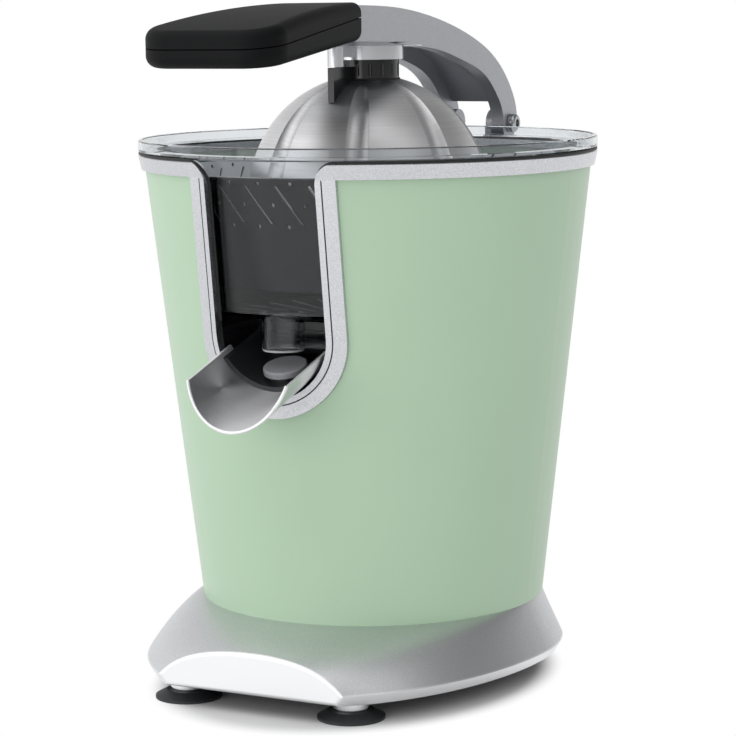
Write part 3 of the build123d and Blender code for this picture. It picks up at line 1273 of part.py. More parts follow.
def make_gearbox_cover():
    """Cover over the gears with bearings for the output hub and the idler pin."""
    floor = UPPER_BRACKET_Z + BRACKET_PLATE
    cover = slot_plate(GEARBOX_RADIUS, floor, GEARBOX_TOP_Z)
    inner = GEARBOX_RADIUS - GEARBOX_WALL
    cover -= slot_plate(inner, floor, GEARBOX_TOP_Z - GEARBOX_WALL)
    for x, y in gearbox_screw_places():
        post = rod(SCREW_HEAD_RADIUS, floor, GEARBOX_TOP_Z, x, y)
        cover += post & slot_plate(GEARBOX_RADIUS, floor, GEARBOX_TOP_Z)
    for x, y in gearbox_screw_places():
        cover -= rod(SCREW_RADIUS, floor, GEARBOX_TOP_Z, x, y)
    cover += rod(HUB_RADIUS + 3, GEARBOX_TOP_Z - 2 * GEARBOX_WALL, HUB_TOP_Z)
    cover -= rod(HUB_RADIUS + RUNNING_GAP, floor, HUB_TOP_Z)
    cover -= rod(IDLER_PIN_RADIUS, floor, GEARBOX_TOP_Z, 0, GEAR_CENTRES)
    return cover


def make_gearbox_screws():
    """Screws from above through the cover into its floor."""
    return joined(
        screw(UPPER_BRACKET_Z, GEARBOX_TOP_Z, x, y, head_down=False) for x, y in gearbox_screw_places()
    )


# Output shaft and start switch


def make_drive_shaft():
    """Steel output shaft, flat where it slides in the gear hub."""
    low = shaft_section(SHAFT_RADIUS, SHAFT_FLAT, SHAFT_BOTTOM_Z, COLLAR_DISC_Z)
    return low + rod(SHAFT_RADIUS, COLLAR_DISC_Z, SHAFT_TOP_Z)


def make_shaft_collar():
    """Disc on the shaft that works the switch when the fruit is pressed down."""
    top = COLLAR_DISC_Z + COLLAR_DISC_HEIGHT
    disc = tube(COLLAR_DISC_RADIUS, SHAFT_RADIUS, COLLAR_DISC_Z, top)
    return disc + tube(SHAFT_RADIUS + 4, SHAFT_RADIUS, COLLAR_DISC_Z, top + 4)


def make_start_switch():
    """Small switch on the gearbox cover."""
    body = Pos(SWITCH_X, 0, GEARBOX_TOP_Z) * Box(
        SWITCH_LENGTH, SWITCH_WIDTH, SWITCH_HEIGHT, align=BOTTOM_UP
    )
    top = GEARBOX_TOP_Z + SWITCH_HEIGHT
    return body - rod(BUTTON_RADIUS + SLIDE_GAP, top - 5, top, BUTTON_X)


def make_switch_button():
    """Button of the switch, under the disc on the shaft."""
    top = GEARBOX_TOP_Z + SWITCH_HEIGHT
    return rod(BUTTON_RADIUS, top - 5 + PRESS_TRAVEL + 0.5, COLLAR_DISC_Z - 0.1, BUTTON_X)


def make_switch_leaf():
    """Spring-steel leaf that lifts the shaft again."""
    foot, bend, touch = -COLLAR_DISC_RADIUS - 16, -COLLAR_DISC_RADIUS - 8, -COLLAR_DISC_RADIUS + 6
    low, high, t = GEARBOX_TOP_Z, COLLAR_DISC_Z, LEAF_THICKNESS
    side = make_face(
        Polyline(
            (foot, 0, low),
            (bend, 0, low),
            (touch - 4, 0, high - t),
            (touch, 0, high - t),
            (touch, 0, high),
            (touch - 4.2, 0, high),
            (bend - 0.2, 0, low + t),
            (foot, 0, low + t),
            close=True,
        )
    )
    return extrude(side, LEAF_WIDTH / 2, dir=(0, 1, 0), both=True)


def make_shaft_bush():
    """Long bush for the shaft at the top of the tower."""
    top = TOWER_TOP_Z - SEAL_HEIGHT
    return tube(TOWER_BORE_RADIUS, SHAFT_RADIUS + RUNNING_GAP, top - SHAFT_BUSH_HEIGHT, top)


def make_shaft_seal():
    """Rubber lip seal over the bush."""
    low = TOWER_TOP_Z - SEAL_HEIGHT
    bore = SHAFT_RADIUS + RUNNING_GAP
    return ring(
        (bore + 2, low), (TOWER_BORE_RADIUS, low), (TOWER_BORE_RADIUS, TOWER_TOP_Z), (bore, TOWER_TOP_Z)
    )


PIECES = {
    "base_housing": make_base_housing,
    "base_plate": make_base_plate,
    "foot_stems": make_foot_stems,
    "suction_cups": make_suction_cups,
    "base_screws": make_base_screws,
    "cord_grommet": make_cord_grommet,
    "body_shell": make_body_shell,
    "trim_bezel": make_trim_bezel,
    "motor_deck": make_motor_deck,
    "spout_niche": make_spout_niche,
    "hinge_bracket": make_hinge_bracket,
    "bracket_screws": make_bracket_screws,
    "juice_bowl": make_juice_bowl,
    "strainer": make_strainer,
    "reamer_cone": make_reamer_cone,
    "press_dome": make_press_dome,
    "dome_collar": make_dome_collar,
    "dome_screw": make_dome_screw,
    "lever_arm": make_lever_arm,
    "grip_upper": lambda: make_grip(True),
    "grip_lower": lambda: make_grip(False),
    "grip_screws": make_grip_screws,
    "hinge_bolts": make_hinge_bolts,
    "hinge_bushes": make_hinge_bushes,
    "spout_trough": make_spout_trough,
    "spout_carrier": make_spout_carrier,
    "drip_pad": make_drip_pad,
    "spout_pin": make_spout_pin,
    "motor_mounts": make_motor_mounts,
    "motor_lower_bracket": make_lower_bracket,
    "motor_stator": make_stator,
    "motor_windings": make_windings,
    "motor_bolts": make_motor_bolts,
    "motor_upper_bracket": make_upper_bracket,
    "motor_bushes": make_motor_bushes,
    "rotor_core": make_rotor_core,
    "motor_shaft": make_motor_shaft,
    "motor_pinion": make_motor_pinion,
    "cooling_fan": make_cooling_fan,
    "idler_gear": make_idler_gear,
    "idler_pin": make_idler_pin,
    "output_gear": make_output_gear,
    "gearbox_cover": make_gearbox_cover,
    "gearbox_screws": make_gearbox_screws,
    "drive_shaft": make_drive_shaft,
    "shaft_collar": make_shaft_collar,
    "start_switch": make_start_switch,
    "switch_button": make_switch_button,
    "switch_leaf": make_switch_leaf,
    "shaft_bush": make_shaft_bush,
    "shaft_seal": make_shaft_seal,
}


def main():
    """Builds every piece and writes it to its own file."""
    os.makedirs("parts", exist_ok=True)
    for name, make in PIECES.items():
        export_step(make(), f"parts/{name}.step")


if __name__ == "__main__":
    main()
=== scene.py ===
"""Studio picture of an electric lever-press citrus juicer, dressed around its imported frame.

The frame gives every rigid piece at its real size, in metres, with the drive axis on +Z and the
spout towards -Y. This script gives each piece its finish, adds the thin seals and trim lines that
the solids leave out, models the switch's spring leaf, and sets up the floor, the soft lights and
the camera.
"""

import logging
import math
from dataclasses import dataclass, field
from enum import Enum
from typing import Any, Iterable, Sequence

import bmesh
import bpy
from mathutils import Matrix, Vector

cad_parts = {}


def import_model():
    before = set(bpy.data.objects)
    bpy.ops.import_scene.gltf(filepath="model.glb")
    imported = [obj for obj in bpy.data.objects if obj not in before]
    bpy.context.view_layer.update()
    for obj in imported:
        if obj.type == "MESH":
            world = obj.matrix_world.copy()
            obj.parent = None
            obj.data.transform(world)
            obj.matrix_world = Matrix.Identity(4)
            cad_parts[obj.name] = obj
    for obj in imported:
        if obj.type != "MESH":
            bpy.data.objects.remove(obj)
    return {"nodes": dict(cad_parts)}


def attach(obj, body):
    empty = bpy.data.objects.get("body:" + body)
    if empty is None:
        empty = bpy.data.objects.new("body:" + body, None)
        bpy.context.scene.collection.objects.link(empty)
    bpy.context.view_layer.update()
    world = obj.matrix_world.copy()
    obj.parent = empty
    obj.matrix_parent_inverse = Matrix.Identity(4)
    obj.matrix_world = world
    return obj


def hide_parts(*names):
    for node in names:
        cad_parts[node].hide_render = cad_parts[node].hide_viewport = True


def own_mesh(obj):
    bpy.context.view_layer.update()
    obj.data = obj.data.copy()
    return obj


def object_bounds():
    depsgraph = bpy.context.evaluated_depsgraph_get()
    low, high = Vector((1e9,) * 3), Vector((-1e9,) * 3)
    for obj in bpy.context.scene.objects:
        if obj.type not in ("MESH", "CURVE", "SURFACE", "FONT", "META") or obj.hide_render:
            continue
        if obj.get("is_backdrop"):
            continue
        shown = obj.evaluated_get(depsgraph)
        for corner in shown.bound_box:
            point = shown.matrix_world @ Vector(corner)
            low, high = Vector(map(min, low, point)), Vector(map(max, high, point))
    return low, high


MM = 0.001
WHITE = "#ffffff"

Tree = bpy.types.NodeTree
Socket = bpy.types.NodeSocket

logging.basicConfig(level=logging.INFO, format="%(message)s")
log = logging.getLogger("juicer")


def linear(code: str) -> tuple[float, float, float, float]:
    """Turns an sRGB hex colour into linear RGBA.

    Args:
        code: Six hex digits, with or without a leading hash.

    Returns:
        Linear red, green and blue, and an alpha of one.
    """
    digits = code.lstrip("#")
    channels = [int(digits[i : i + 2], 16) / 255 for i in (0, 2, 4)]
    light = [c / 12.92 if c <= 0.04045 else ((c + 0.055) / 1.055) ** 2.4 for c in channels]
    return light[0], light[1], light[2], 1.0


def per_metre(size_mm: float) -> float:
    """Returns the texture scale that gives a feature of the given size in millimetres."""
    return 1.0 / (size_mm * MM)


def add_node(tree: Tree, kind: str, inputs: dict[Any, Any], **settings: Any) -> bpy.types.Node:
    """Adds a node with its settings, and links or fills its sockets.

    Args:
        tree: Node tree that the node joins.
        kind: Blender's name for the node type.
        inputs: Socket name or number to a value, or to an output socket to link.
        **settings: Attributes of the node.

    Returns:
        The new node.
    """
    node = tree.nodes.new(kind)
    for name, value in settings.items():
        setattr(node, name, value)
    for socket, value in inputs.items():
        if isinstance(value, Socket):
            tree.links.new(value, node.inputs[socket])
        else:
            node.inputs[socket].default_value = value
    return node


def calculate(tree: Tree, operation: str, *values: Socket | float) -> Socket:
    """Returns the result of a math node.

    Args:
        tree: Node tree that the node joins.
        operation: Blender's name for the operation.
        *values: Operands, in the order of the node's sockets.

    Returns:
        The result.
    """
    return add_node(tree, "ShaderNodeMath", dict(enumerate(values)), operation=operation).outputs["Value"]


def mix_values(tree: Tree, share: Socket, first: Socket | float, second: Socket | float) -> Socket:
    """Mixes two numbers.

    Args:
        tree: Node tree that the node joins.
        share: Zero for the first number and one for the second.
        first: A number or a socket.
        second: A number or a socket.

    Returns:
        The mixed number.
    """
    return add_node(tree, "ShaderNodeMix", {"Factor": share, 2: first, 3: second}).outputs[0]


def mix_colours(tree: Tree, share: Socket, first: Socket | str, second: Socket | str) -> Socket:
    """Mixes two colours.

    Args:
        tree: Node tree that the node joins.
        share: Zero for the first colour and one for the second.
        first: A hex colour or a socket.
        second: A hex colour or a socket.

    Returns:
        The mixed colour.
    """
    ends = [linear(end) if isinstance(end, str) else end for end in (first, second)]
    inputs = {"Factor": share, 6: ends[0], 7: ends[1]}
    return add_node(tree, "ShaderNodeMix", inputs, data_type="RGBA").outputs[2]


def noise(tree: Tree, place: Socket, scale: float, detail: float = 2.0, roughness: float = 0.5) -> Socket:
    """Returns cloudy noise from zero to one.

    Args:
        tree: Node tree that the node joins.
        place: Coordinates.
        scale: Features in one unit of the coordinates.
        detail: Number of finer layers.
        roughness: Weight of the finer layers.

    Returns:
        The noise.
    """
    inputs = {"Vector": place, "Scale": scale, "Detail": detail, "Roughness": roughness}
    return add_node(tree, "ShaderNodeTexNoise", inputs).outputs["Fac"]


def vary(tree: Tree, share: Socket, middle: float, span: tuple[float, float]) -> Socket:
    """Returns a number that drifts with a share from zero to one.

    Args:
        tree: Node tree that the node joins.
        share: What it drifts with.
        middle: The number that the span is added to.
        span: What is added at a share of zero and of one.

    Returns:
        The drifting number.
    """
    inputs = {"Value": share, "To Min": middle + span[0], "To Max": middle + span[1]}
    return add_node(tree, "ShaderNodeMapRange", inputs).outputs["Result"]


def ease(
    tree: Tree,
    value: Socket,
    start: float,
    end: float,
    first: float = 0.0,
    last: Socket | float = 1.0,
) -> Socket:
    """Returns a number that eases from first to last as a value goes from start to end.

    Args:
        tree: Node tree that the node joins.
        value: The value.
        start: Value at which the number leaves first.
        end: Value at which it reaches last.
        first: Number before the start.
        last: Number after the end.

    Returns:
        The eased number.
    """
    inputs = {"Value": value, "From Min": start, "From Max": end, "To Min": first, "To Max": last}
    eased = add_node(tree, "ShaderNodeMapRange", inputs, interpolation_type="SMOOTHSTEP")
    return eased.outputs["Result"]


def below(tree: Tree, value: Socket, end_mm: float, edge_mm: float) -> Socket:
    """Returns one where a coordinate is below an end, falling to zero over the edge above it.

    Args:
        tree: Node tree that the node joins.
        value: The coordinate, in metres.
        end_mm: The end, in millimetres.
        edge_mm: Width of the edge, in millimetres.

    Returns:
        The share.
    """
    inputs = {"Value": value, "From Min": (end_mm + edge_mm) * MM, "From Max": end_mm * MM}
    return add_node(tree, "ShaderNodeMapRange", inputs).outputs["Result"]


def ripple(tree: Tree, height: Socket, strength: float, depth_mm: float) -> Socket:
    """Returns the normal of a surface that ripples with a height from zero to one.

    Args:
        tree: Node tree that the node joins.
        height: The height.
        strength: Share of the ripple that shows.
        depth_mm: Depth of the ripple, in millimetres.

    Returns:
        The normal.
    """
    inputs = {"Height": height, "Strength": strength, "Distance": depth_mm * MM}
    return add_node(tree, "ShaderNodeBump", inputs).outputs["Normal"]


def axis_radius(tree: Tree, parts: bpy.types.Node) -> Socket:
    """Returns the distance from the drive axis.

    Args:
        tree: Node tree that the nodes join.
        parts: Node that holds the separated coordinates.

    Returns:
        The distance, in metres.
    """
    flat = add_node(tree, "ShaderNodeCombineXYZ", {"X": parts.outputs["X"], "Y": parts.outputs["Y"]})
    length = add_node(tree, "ShaderNodeVectorMath", {0: flat.outputs["Vector"]}, operation="LENGTH")
    return length.outputs["Value"]


def surface(
    tree: Tree, colour: Socket, roughness: Socket | float, normal: Socket, more: dict[str, Any]
) -> Socket:
    """Builds the surface shader.

    Args:
        tree: Node tree that the node joins.
        colour: Base colour.
        roughness: Roughness.
        normal: Normal of the surface.
        more: Other sockets by name.

    Returns:
        The shader.
    """
    inputs = {"Base Color": colour, "Roughness": roughness, "Normal": normal, **more}
    return add_node(tree, "ShaderNodeBsdfPrincipled", inputs).outputs["BSDF"]


class Lay(Enum):
    """Direction that brush marks run in."""

    ROUND = "round the drive axis"
    ACROSS = "across the spout"


@dataclass(frozen=True)
class Finish:
    """A surface finish that builds its material once and shares it between pieces."""

    name: str

    def material(self) -> bpy.types.Material:
        """Returns the finish's material, built on first use."""
        found = bpy.data.materials.get(self.name)
        if found is not None:
            return found
        made = bpy.data.materials.new(self.name)
        made.use_nodes = True
        tree = made.node_tree
        tree.nodes.clear()
        place = add_node(tree, "ShaderNodeTexCoord", {}).outputs["Object"]
        add_node(tree, "ShaderNodeOutputMaterial", {"Surface": self.shade(tree, place)})
        return made

    def shade(self, tree: Tree, place: Socket) -> Socket:
        """Builds the shader.

        Args:
            tree: The material's node tree.
            place: Object coordinates in metres.

        Returns:
            The shader's output socket.
        """
        raise NotImplementedError


@dataclass(frozen=True)
class MetallicPaint(Finish):
    """Silver lacquer with aluminium flake, sprayed and baked: a soft sheen with a fine sparkle."""

    light: str = "#c4c6ca"
    dark: str = "#9c9ea3"
    # Real flake is about 0.05 mm, drawn coarser so that the sparkle shows
    flake_mm: float = 0.3
    peel_mm: float = 3.0
    peel_strength: float = 0.12
    peel_depth_mm: float = 0.05
    metallic: float = 1.0
    roughness: float = 0.34
    gloss_span: tuple[float, float] = (-0.05, 0.07)
    # Lighter tone on marked places: turned bright metal on the arm's boss, a painted highlight on the base
    polish_and_highlight_tone: str = "#e8e9ea"
    buffed_roughness: float = 0.42

    def polish_and_highlight_share(self, tree: Tree, place: Socket) -> Socket | None:
        """Marks the places that take the lighter tone. A plain piece is sprayed alike all over and has none.

        Args:
            tree: The material's node tree.
            place: Object coordinates in metres.

        Returns:
            One on the places that take the lighter tone and zero elsewhere, or None.
        """
        return None

    def shade(self, tree: Tree, place: Socket) -> Socket:
        """Mixes the flake's tones, lightens the marked places (turned bright metal on the arm, a painted
        highlight on the base) and adds the orange peel of paint.
        """
        scale = per_metre(self.flake_mm)
        flake = add_node(tree, "ShaderNodeTexVoronoi", {"Vector": place, "Scale": scale}).outputs["Color"]
        tone = mix_colours(tree, flake, self.light, self.dark)
        gloss = vary(tree, flake, self.roughness, self.gloss_span)
        # Lighter tone on the marked places: a painted highlight on the base, turned bright metal on the arm
        share = self.polish_and_highlight_share(tree, place)
        if share is not None:
            tone = mix_colours(tree, share, tone, self.polish_and_highlight_tone)
            gloss = mix_values(tree, share, gloss, self.buffed_roughness)
        peel = noise(tree, place, per_metre(self.peel_mm), detail=3.0)
        normal = ripple(tree, peel, self.peel_strength, self.peel_depth_mm)
        return surface(tree, tone, gloss, normal, {"Metallic": self.metallic})


@dataclass(frozen=True)
class BasePaint(MetallicPaint):
    """Silver lacquer on the base, with a painted highlight: its front facet and lower lip are painted a
    brighter white.
    """

    facet_y_mm: float = -120.6
    lip_z_mm: float = 14.4
    edge_mm: float = 0.4

    def polish_and_highlight_share(self, tree: Tree, place: Socket) -> Socket | None:
        """Marks the facet and the lip, where the highlight is painted."""
        parts = add_node(tree, "ShaderNodeSeparateXYZ", {"Vector": place})
        facet = below(tree, parts.outputs["Y"], self.facet_y_mm, self.edge_mm)
        lip = below(tree, parts.outputs["Z"], self.lip_z_mm, self.edge_mm)
        return calculate(tree, "MAXIMUM", facet, lip)


@dataclass(frozen=True)
class ArmPaint(MetallicPaint):
    """Silver lacquer on the arm, with its boss and post turned bright where they carry the dome."""

    boss_top_mm: float = 299.0
    boss_rear_mm: float = 18.5
    edge_mm: float = 0.3

    def polish_and_highlight_share(self, tree: Tree, place: Socket) -> Socket | None:
        """Marks the boss and the post, which lie below the arm's front end."""
        parts = add_node(tree, "ShaderNodeSeparateXYZ", {"Vector": place})
        front = below(tree, parts.outputs["Y"], self.boss_rear_mm, self.edge_mm)
        low = below(tree, parts.outputs["Z"], self.boss_top_mm, self.edge_mm)
        return calculate(tree, "MINIMUM", front, low)


@dataclass(frozen=True)
class SatinEnamel(Finish):
    """Coloured enamel baked on pressed steel: even satin colour with a faint orange peel."""

    colour: str = "#b5d0b4"
    shadow: str = "#b0cbaf"
    cloud_mm: float = 55.0
    peel_mm: float = 1.8
    peel_strength: float = 0.1
    peel_depth_mm: float = 0.03
    roughness: float = 0.36
    gloss_span: tuple[float, float] = (-0.04, 0.04)
    ior: float = 1.5

    def shade(self, tree: Tree, place: Socket) -> Socket:
        """Drifts the colour a little over the sheet and ripples its gloss."""
        cloud = noise(tree, place, per_metre(self.cloud_mm))
        tone = mix_colours(tree, cloud, self.colour, self.shadow)
        peel = noise(tree, place, per_metre(self.peel_mm))
        gloss = vary(tree, peel, self.roughness, self.gloss_span)
        normal = ripple(tree, peel, self.peel_strength, self.peel_depth_mm)
        return surface(tree, tone, gloss, normal, {"IOR": self.ior})


@dataclass(frozen=True)
class BrushedSteel(Finish):
    """Stainless steel, belt or spin brushed: fine parallel scratches that draw highlights out."""

    light: str = "#e6e6e7"
    dark: str = "#b6b6b8"
    lay: Lay = Lay.ROUND
    # Real scratches are about 0.05 mm wide, drawn coarser so that the grain shows
    grain_mm: float = 0.45
    run_mm: float = 60.0
    scratch_strength: float = 0.25
    scratch_depth_mm: float = 0.03
    roughness: float = 0.38
    gloss_span: tuple[float, float] = (-0.07, 0.09)
    stretch: float = 0.65

    def grain_place(self, tree: Tree, place: Socket) -> Socket:
        """Squeezes the coordinates so that a noise texture becomes long scratches.

        Args:
            tree: The material's node tree.
            place: Object coordinates in metres.

        Returns:
            Coordinates that are fine across the scratches and coarse along them.
        """
        fine = per_metre(self.grain_mm)
        coarse = per_metre(self.run_mm)
        scale = (coarse, fine, coarse)
        if self.lay is Lay.ROUND:
            parts = add_node(tree, "ShaderNodeSeparateXYZ", {"Vector": place})
            slope = calculate(tree, "SUBTRACT", parts.outputs["Z"], axis_radius(tree, parts))
            bands = {"X": parts.outputs["X"], "Y": parts.outputs["Y"], "Z": slope}
            place = add_node(tree, "ShaderNodeCombineXYZ", bands).outputs["Vector"]
            scale = (coarse, coarse, fine)
        return add_node(tree, "ShaderNodeMapping", {"Vector": place, "Scale": scale}).outputs["Vector"]

    def shade(self, tree: Tree, place: Socket) -> Socket:
        """Draws the scratches into the tone, the gloss and the surface."""
        grain = noise(tree, self.grain_place(tree, place), 1.0, detail=4.0, roughness=0.65)
        tone = mix_colours(tree, grain, self.light, self.dark)
        gloss = vary(tree, grain, self.roughness, self.gloss_span)
        normal = ripple(tree, grain, self.scratch_strength, self.scratch_depth_mm)
        axis = "Z" if self.lay is Lay.ROUND else "X"
        tangent = add_node(tree, "ShaderNodeTangent", {}, direction_type="RADIAL", axis=axis)
        streaks = {"Anisotropic": self.stretch, "Tangent": tangent.outputs["Tangent"]}
        return surface(tree, tone, gloss, normal, {"Metallic": 1.0, **streaks})


@dataclass(frozen=True)
class MouldedPlastic(Finish):
    """Injection-moulded plastic with the fine spark texture of its mould: broken, even gloss."""

    colour: str = "#1c1d20"
    worn: str = "#26272a"
    grain_mm: float = 0.6
    depth_mm: float = 0.02
    roughness: float = 0.42
    ior: float = 1.53
    grain_strength: float = 0.3
    gloss_span: tuple[float, float] = (-0.06, 0.06)
    # Size of the slow changes of tone, in grains
    flow_grains: float = 40.0

    def shade(self, tree: Tree, place: Socket) -> Socket:
        """Sets the mould texture and slow changes of tone from its filling."""
        grain = noise(tree, place, per_metre(self.grain_mm), detail=3.0)
        flow = noise(tree, place, per_metre(self.flow_grains * self.grain_mm))
        tone = mix_colours(tree, flow, self.colour, self.worn)
        gloss = vary(tree, grain, self.roughness, self.gloss_span)
        normal = ripple(tree, grain, self.grain_strength, self.depth_mm)
        return surface(tree, tone, gloss, normal, {"IOR": self.ior})


@dataclass(frozen=True)
class StrainerPlastic(Finish):
    """Tinted plastic, glossy outside, with its inner skin painted pale: painted light that stands for the
    light falling into the basket.
    """

    outside: str = "#141518"
    # Pale inner skin: painted light, seen through the slots
    inside: str = "#c8cacd"
    floor_radius_mm: float = 80.54
    floor_z_mm: float = 189.0
    draft: float = 14.0 / 51.4
    skin_mm: float = 0.8
    flow_mm: float = 24.0
    flow_strength: float = 0.08
    flow_depth_mm: float = 0.2
    roughness: float = 0.3
    gloss_span: tuple[float, float] = (-0.05, 0.08)
    ior: float = 1.38

    def shade(self, tree: Tree, place: Socket) -> Socket:
        """Pales the inner skin of the tapered wall as painted light and ripples its gloss."""
        parts = add_node(tree, "ShaderNodeSeparateXYZ", {"Vector": place})
        foot = (self.floor_radius_mm - self.floor_z_mm * self.draft) * MM
        wall = calculate(tree, "MULTIPLY_ADD", parts.outputs["Z"], self.draft, foot)
        depth = calculate(tree, "SUBTRACT", wall, axis_radius(tree, parts))
        skin = {"Value": depth, "From Min": self.skin_mm * MM, "From Max": 2 * self.skin_mm * MM}
        inner = add_node(tree, "ShaderNodeMapRange", skin).outputs["Result"]
        tone = mix_colours(tree, inner, self.outside, self.inside)
        flow = noise(tree, place, per_metre(self.flow_mm))
        gloss = vary(tree, flow, self.roughness, self.gloss_span)
        normal = ripple(tree, flow, self.flow_strength, self.flow_depth_mm)
        return surface(tree, tone, gloss, normal, {"IOR": self.ior})


@dataclass(frozen=True)
class ClearPlastic(Finish):
    """Polished clear plastic with faint moulding flow: bright edges and a see-through wall."""

    tint: str = "#e6eaec"
    haze: str = "#dfe3e6"
    flow_mm: float = 28.0
    flow_strength: float = 0.05
    flow_depth_mm: float = 0.2
    roughness: float = 0.006
    gloss_span: tuple[float, float] = (0.0, 0.012)
    ior: float = 1.36

    def shade(self, tree: Tree, place: Socket) -> Socket:
        """Lets light through with a slight tint and a slow ripple."""
        flow = noise(tree, place, per_metre(self.flow_mm))
        tone = mix_colours(tree, flow, self.tint, self.haze)
        gloss = vary(tree, flow, self.roughness, self.gloss_span)
        normal = ripple(tree, flow, self.flow_strength, self.flow_depth_mm)
        return surface(tree, tone, gloss, normal, {"IOR": self.ior, "Transmission Weight": 1.0})


@dataclass(frozen=True)
class Rubber(Finish):
    """Moulded rubber: dull and dark, with a fine bloom on its surface."""

    colour: str = "#1d1e20"
    bloom: str = "#2c2d30"
    speck_mm: float = 0.5
    roughness: float = 0.6
    speck_strength: float = 0.2
    speck_depth_mm: float = 0.03
    gloss_span: tuple[float, float] = (-0.08, 0.1)
    ior: float = 1.52

    def shade(self, tree: Tree, place: Socket) -> Socket:
        """Speckles the tone and keeps the gloss low."""
        speck = noise(tree, place, per_metre(self.speck_mm), detail=4.0, roughness=0.7)
        tone = mix_colours(tree, speck, self.colour, self.bloom)
        gloss = vary(tree, speck, self.roughness, self.gloss_span)
        normal = ripple(tree, speck, self.speck_strength, self.speck_depth_mm)
        return surface(tree, tone, gloss, normal, {"IOR": self.ior})


@dataclass(frozen=True)
class TurnedMetal(Finish):
    """Bare or plated machine metal with fine tool marks: mirror-like with soft streaks."""

    light: str = "#c9cacc"
    dark: str = "#8f9194"
    mark_mm: float = 0.35
    roughness: float = 0.24
    mark_strength: float = 0.15
    mark_depth_mm: float = 0.02
    gloss_span: tuple[float, float] = (-0.06, 0.1)
    # Length of a tool mark, in widths
    mark_run: float = 6.0

    def shade(self, tree: Tree, place: Socket) -> Socket:
        """Streaks the tone and gloss along the tool marks."""
        along = per_metre(self.mark_run * self.mark_mm)
        squeeze = {"Vector": place, "Scale": (along, along, per_metre(self.mark_mm))}
        marks_place = add_node(tree, "ShaderNodeMapping", squeeze).outputs["Vector"]
        marks = noise(tree, marks_place, 1.0, detail=3.0)
        tone = mix_colours(tree, marks, self.light, self.dark)
        gloss = vary(tree, marks, self.roughness, self.gloss_span)
        normal = ripple(tree, marks, self.mark_strength, self.mark_depth_mm)
        return surface(tree, tone, gloss, normal, {"Metallic": 1.0})


@dataclass(frozen=True)
class BandedMetal(Finish):
    """Metal built up in layers, as stacked motor sheets or wound wire: close parallel lines."""

    light: str = "#6f7275"
    dark: str = "#3d3f42"
    # Real sheets and wires are about 0.5 mm, drawn at twice that so that the lines show
    pitch_mm: float = 1.0
    roughness: float = 0.45
    waver: float = 0.4
    line_strength: float = 0.5
    line_depth_mm: float = 0.15

    def shade(self, tree: Tree, place: Socket) -> Socket:
        """Rules the lines across the stack and darkens the joints between them."""
        scale = per_metre(self.pitch_mm) / (2 * math.pi)
        lines = add_node(
            tree,
            "ShaderNodeTexWave",
            {"Vector": place, "Scale": scale, "Distortion": self.waver},
            wave_type="BANDS",
            bands_direction="Z",
        ).outputs["Fac"]
        tone = mix_colours(tree, lines, self.dark, self.light)
        normal = ripple(tree, lines, self.line_strength, self.line_depth_mm)
        return surface(tree, tone, self.roughness, normal, {"Metallic": 1.0})


# Die-cast zinc bracket, sprayed silver: satin with a fine sparkle
CAST_SILVER = MetallicPaint(
    "silver lacquer on die-cast zinc", light="#bbbcc1", dark="#abacb1", metallic=0.8, roughness=0.46
)
# Die-cast lever arm in the same silver, with its boss turned bright
ARM_SILVER = ArmPaint(
    "silver lacquer on die-cast arm",
    light="#bbbcc1",
    dark="#abacb1",
    metallic=0.8,
    roughness=0.46,
    polish_and_highlight_tone="#cbcccf",
    buffed_roughness=0.2,
)
# ABS base sprayed bright silver, with a painted highlight on its facet and lip
SPRAYED_ABS = BasePaint("bright silver lacquer on ABS", light="#dcdddf", dark="#cacbce", roughness=0.42)
# ABS trim round the rim and the window, with a slightly coarser sparkle
TRIM_SILVER = MetallicPaint(
    "silver lacquer on ABS trim", light="#dddee1", dark="#bcbdc2", flake_mm=0.34, roughness=0.3
)
# Baked enamel on the pressed steel shell
MINT_ENAMEL = SatinEnamel("satin mint enamel on steel")
# Spin-brushed stainless press dome
SPUN_STEEL = BrushedSteel("spin-brushed stainless steel", lay=Lay.ROUND, roughness=0.37, stretch=0.75)
# Belt-brushed stainless spout
BELT_STEEL = BrushedSteel(
    "belt-brushed stainless steel", light="#f2f2f3", dark="#d2d2d4", lay=Lay.ACROSS, roughness=0.42
)
# Clear tub, polished in the mould
CLEAR_TUB = ClearPlastic("clear moulded copolyester")
# Pale grey bead on the clear nozzle's edge: a painted highlight
NOZZLE_EDGE_HIGHLIGHT = MouldedPlastic("painted highlight on copolyester edge", "#a6a9ac", "#b4b7ba", 0.4, 0.005, 0.2, 1.5)
# Dark strainer basket, glossy outside, with its inside painted paler as painted light
SMOKE_BASKET = StrainerPlastic("smoke-tinted moulded plastic")
# Black ABS structure with fine spark texture
BLACK_ABS = MouldedPlastic("black moulded ABS", "#17181b", "#1d1e21", 0.5, 0.01, 0.3)
# Collar under the arm, polished black
COLLAR_ACETAL = MouldedPlastic("polished black acetal", "#101113", "#17181a", 0.6, 0.004, 0.14, 1.42)
# Palm grip in soft-touch black with a leather-fine mould texture
SOFT_GRIP = MouldedPlastic("soft-touch black plastic", "#08090b", "#0c0d0f", 0.8, 0.03, 0.6, 1.22)
# Plated plastic stems on the feet
SILVER_STEM = TurnedMetal("bright-plated foot stems", "#f0f0f1", "#d9dadc", 0.5, 0.14)
# Grey silicone drip pad
GREY_SILICONE = Rubber("grey silicone rubber", "#7f7f83", "#8b8b8f", 0.6, 0.5)
# Black rubber cups and mounts
BLACK_RUBBER = Rubber("black nitrile rubber")
# Deep black lip seal along the rim and the window; the same black paints shade in the window frame's groove
SEAL_AND_GROOVE_SHADE = Rubber("black silicone lip seal and painted groove shade", "#060607", "#0b0b0c", 0.5, 0.55)
# Bright zinc-plated fasteners and shafts
ZINC_STEEL = TurnedMetal("zinc-plated steel")
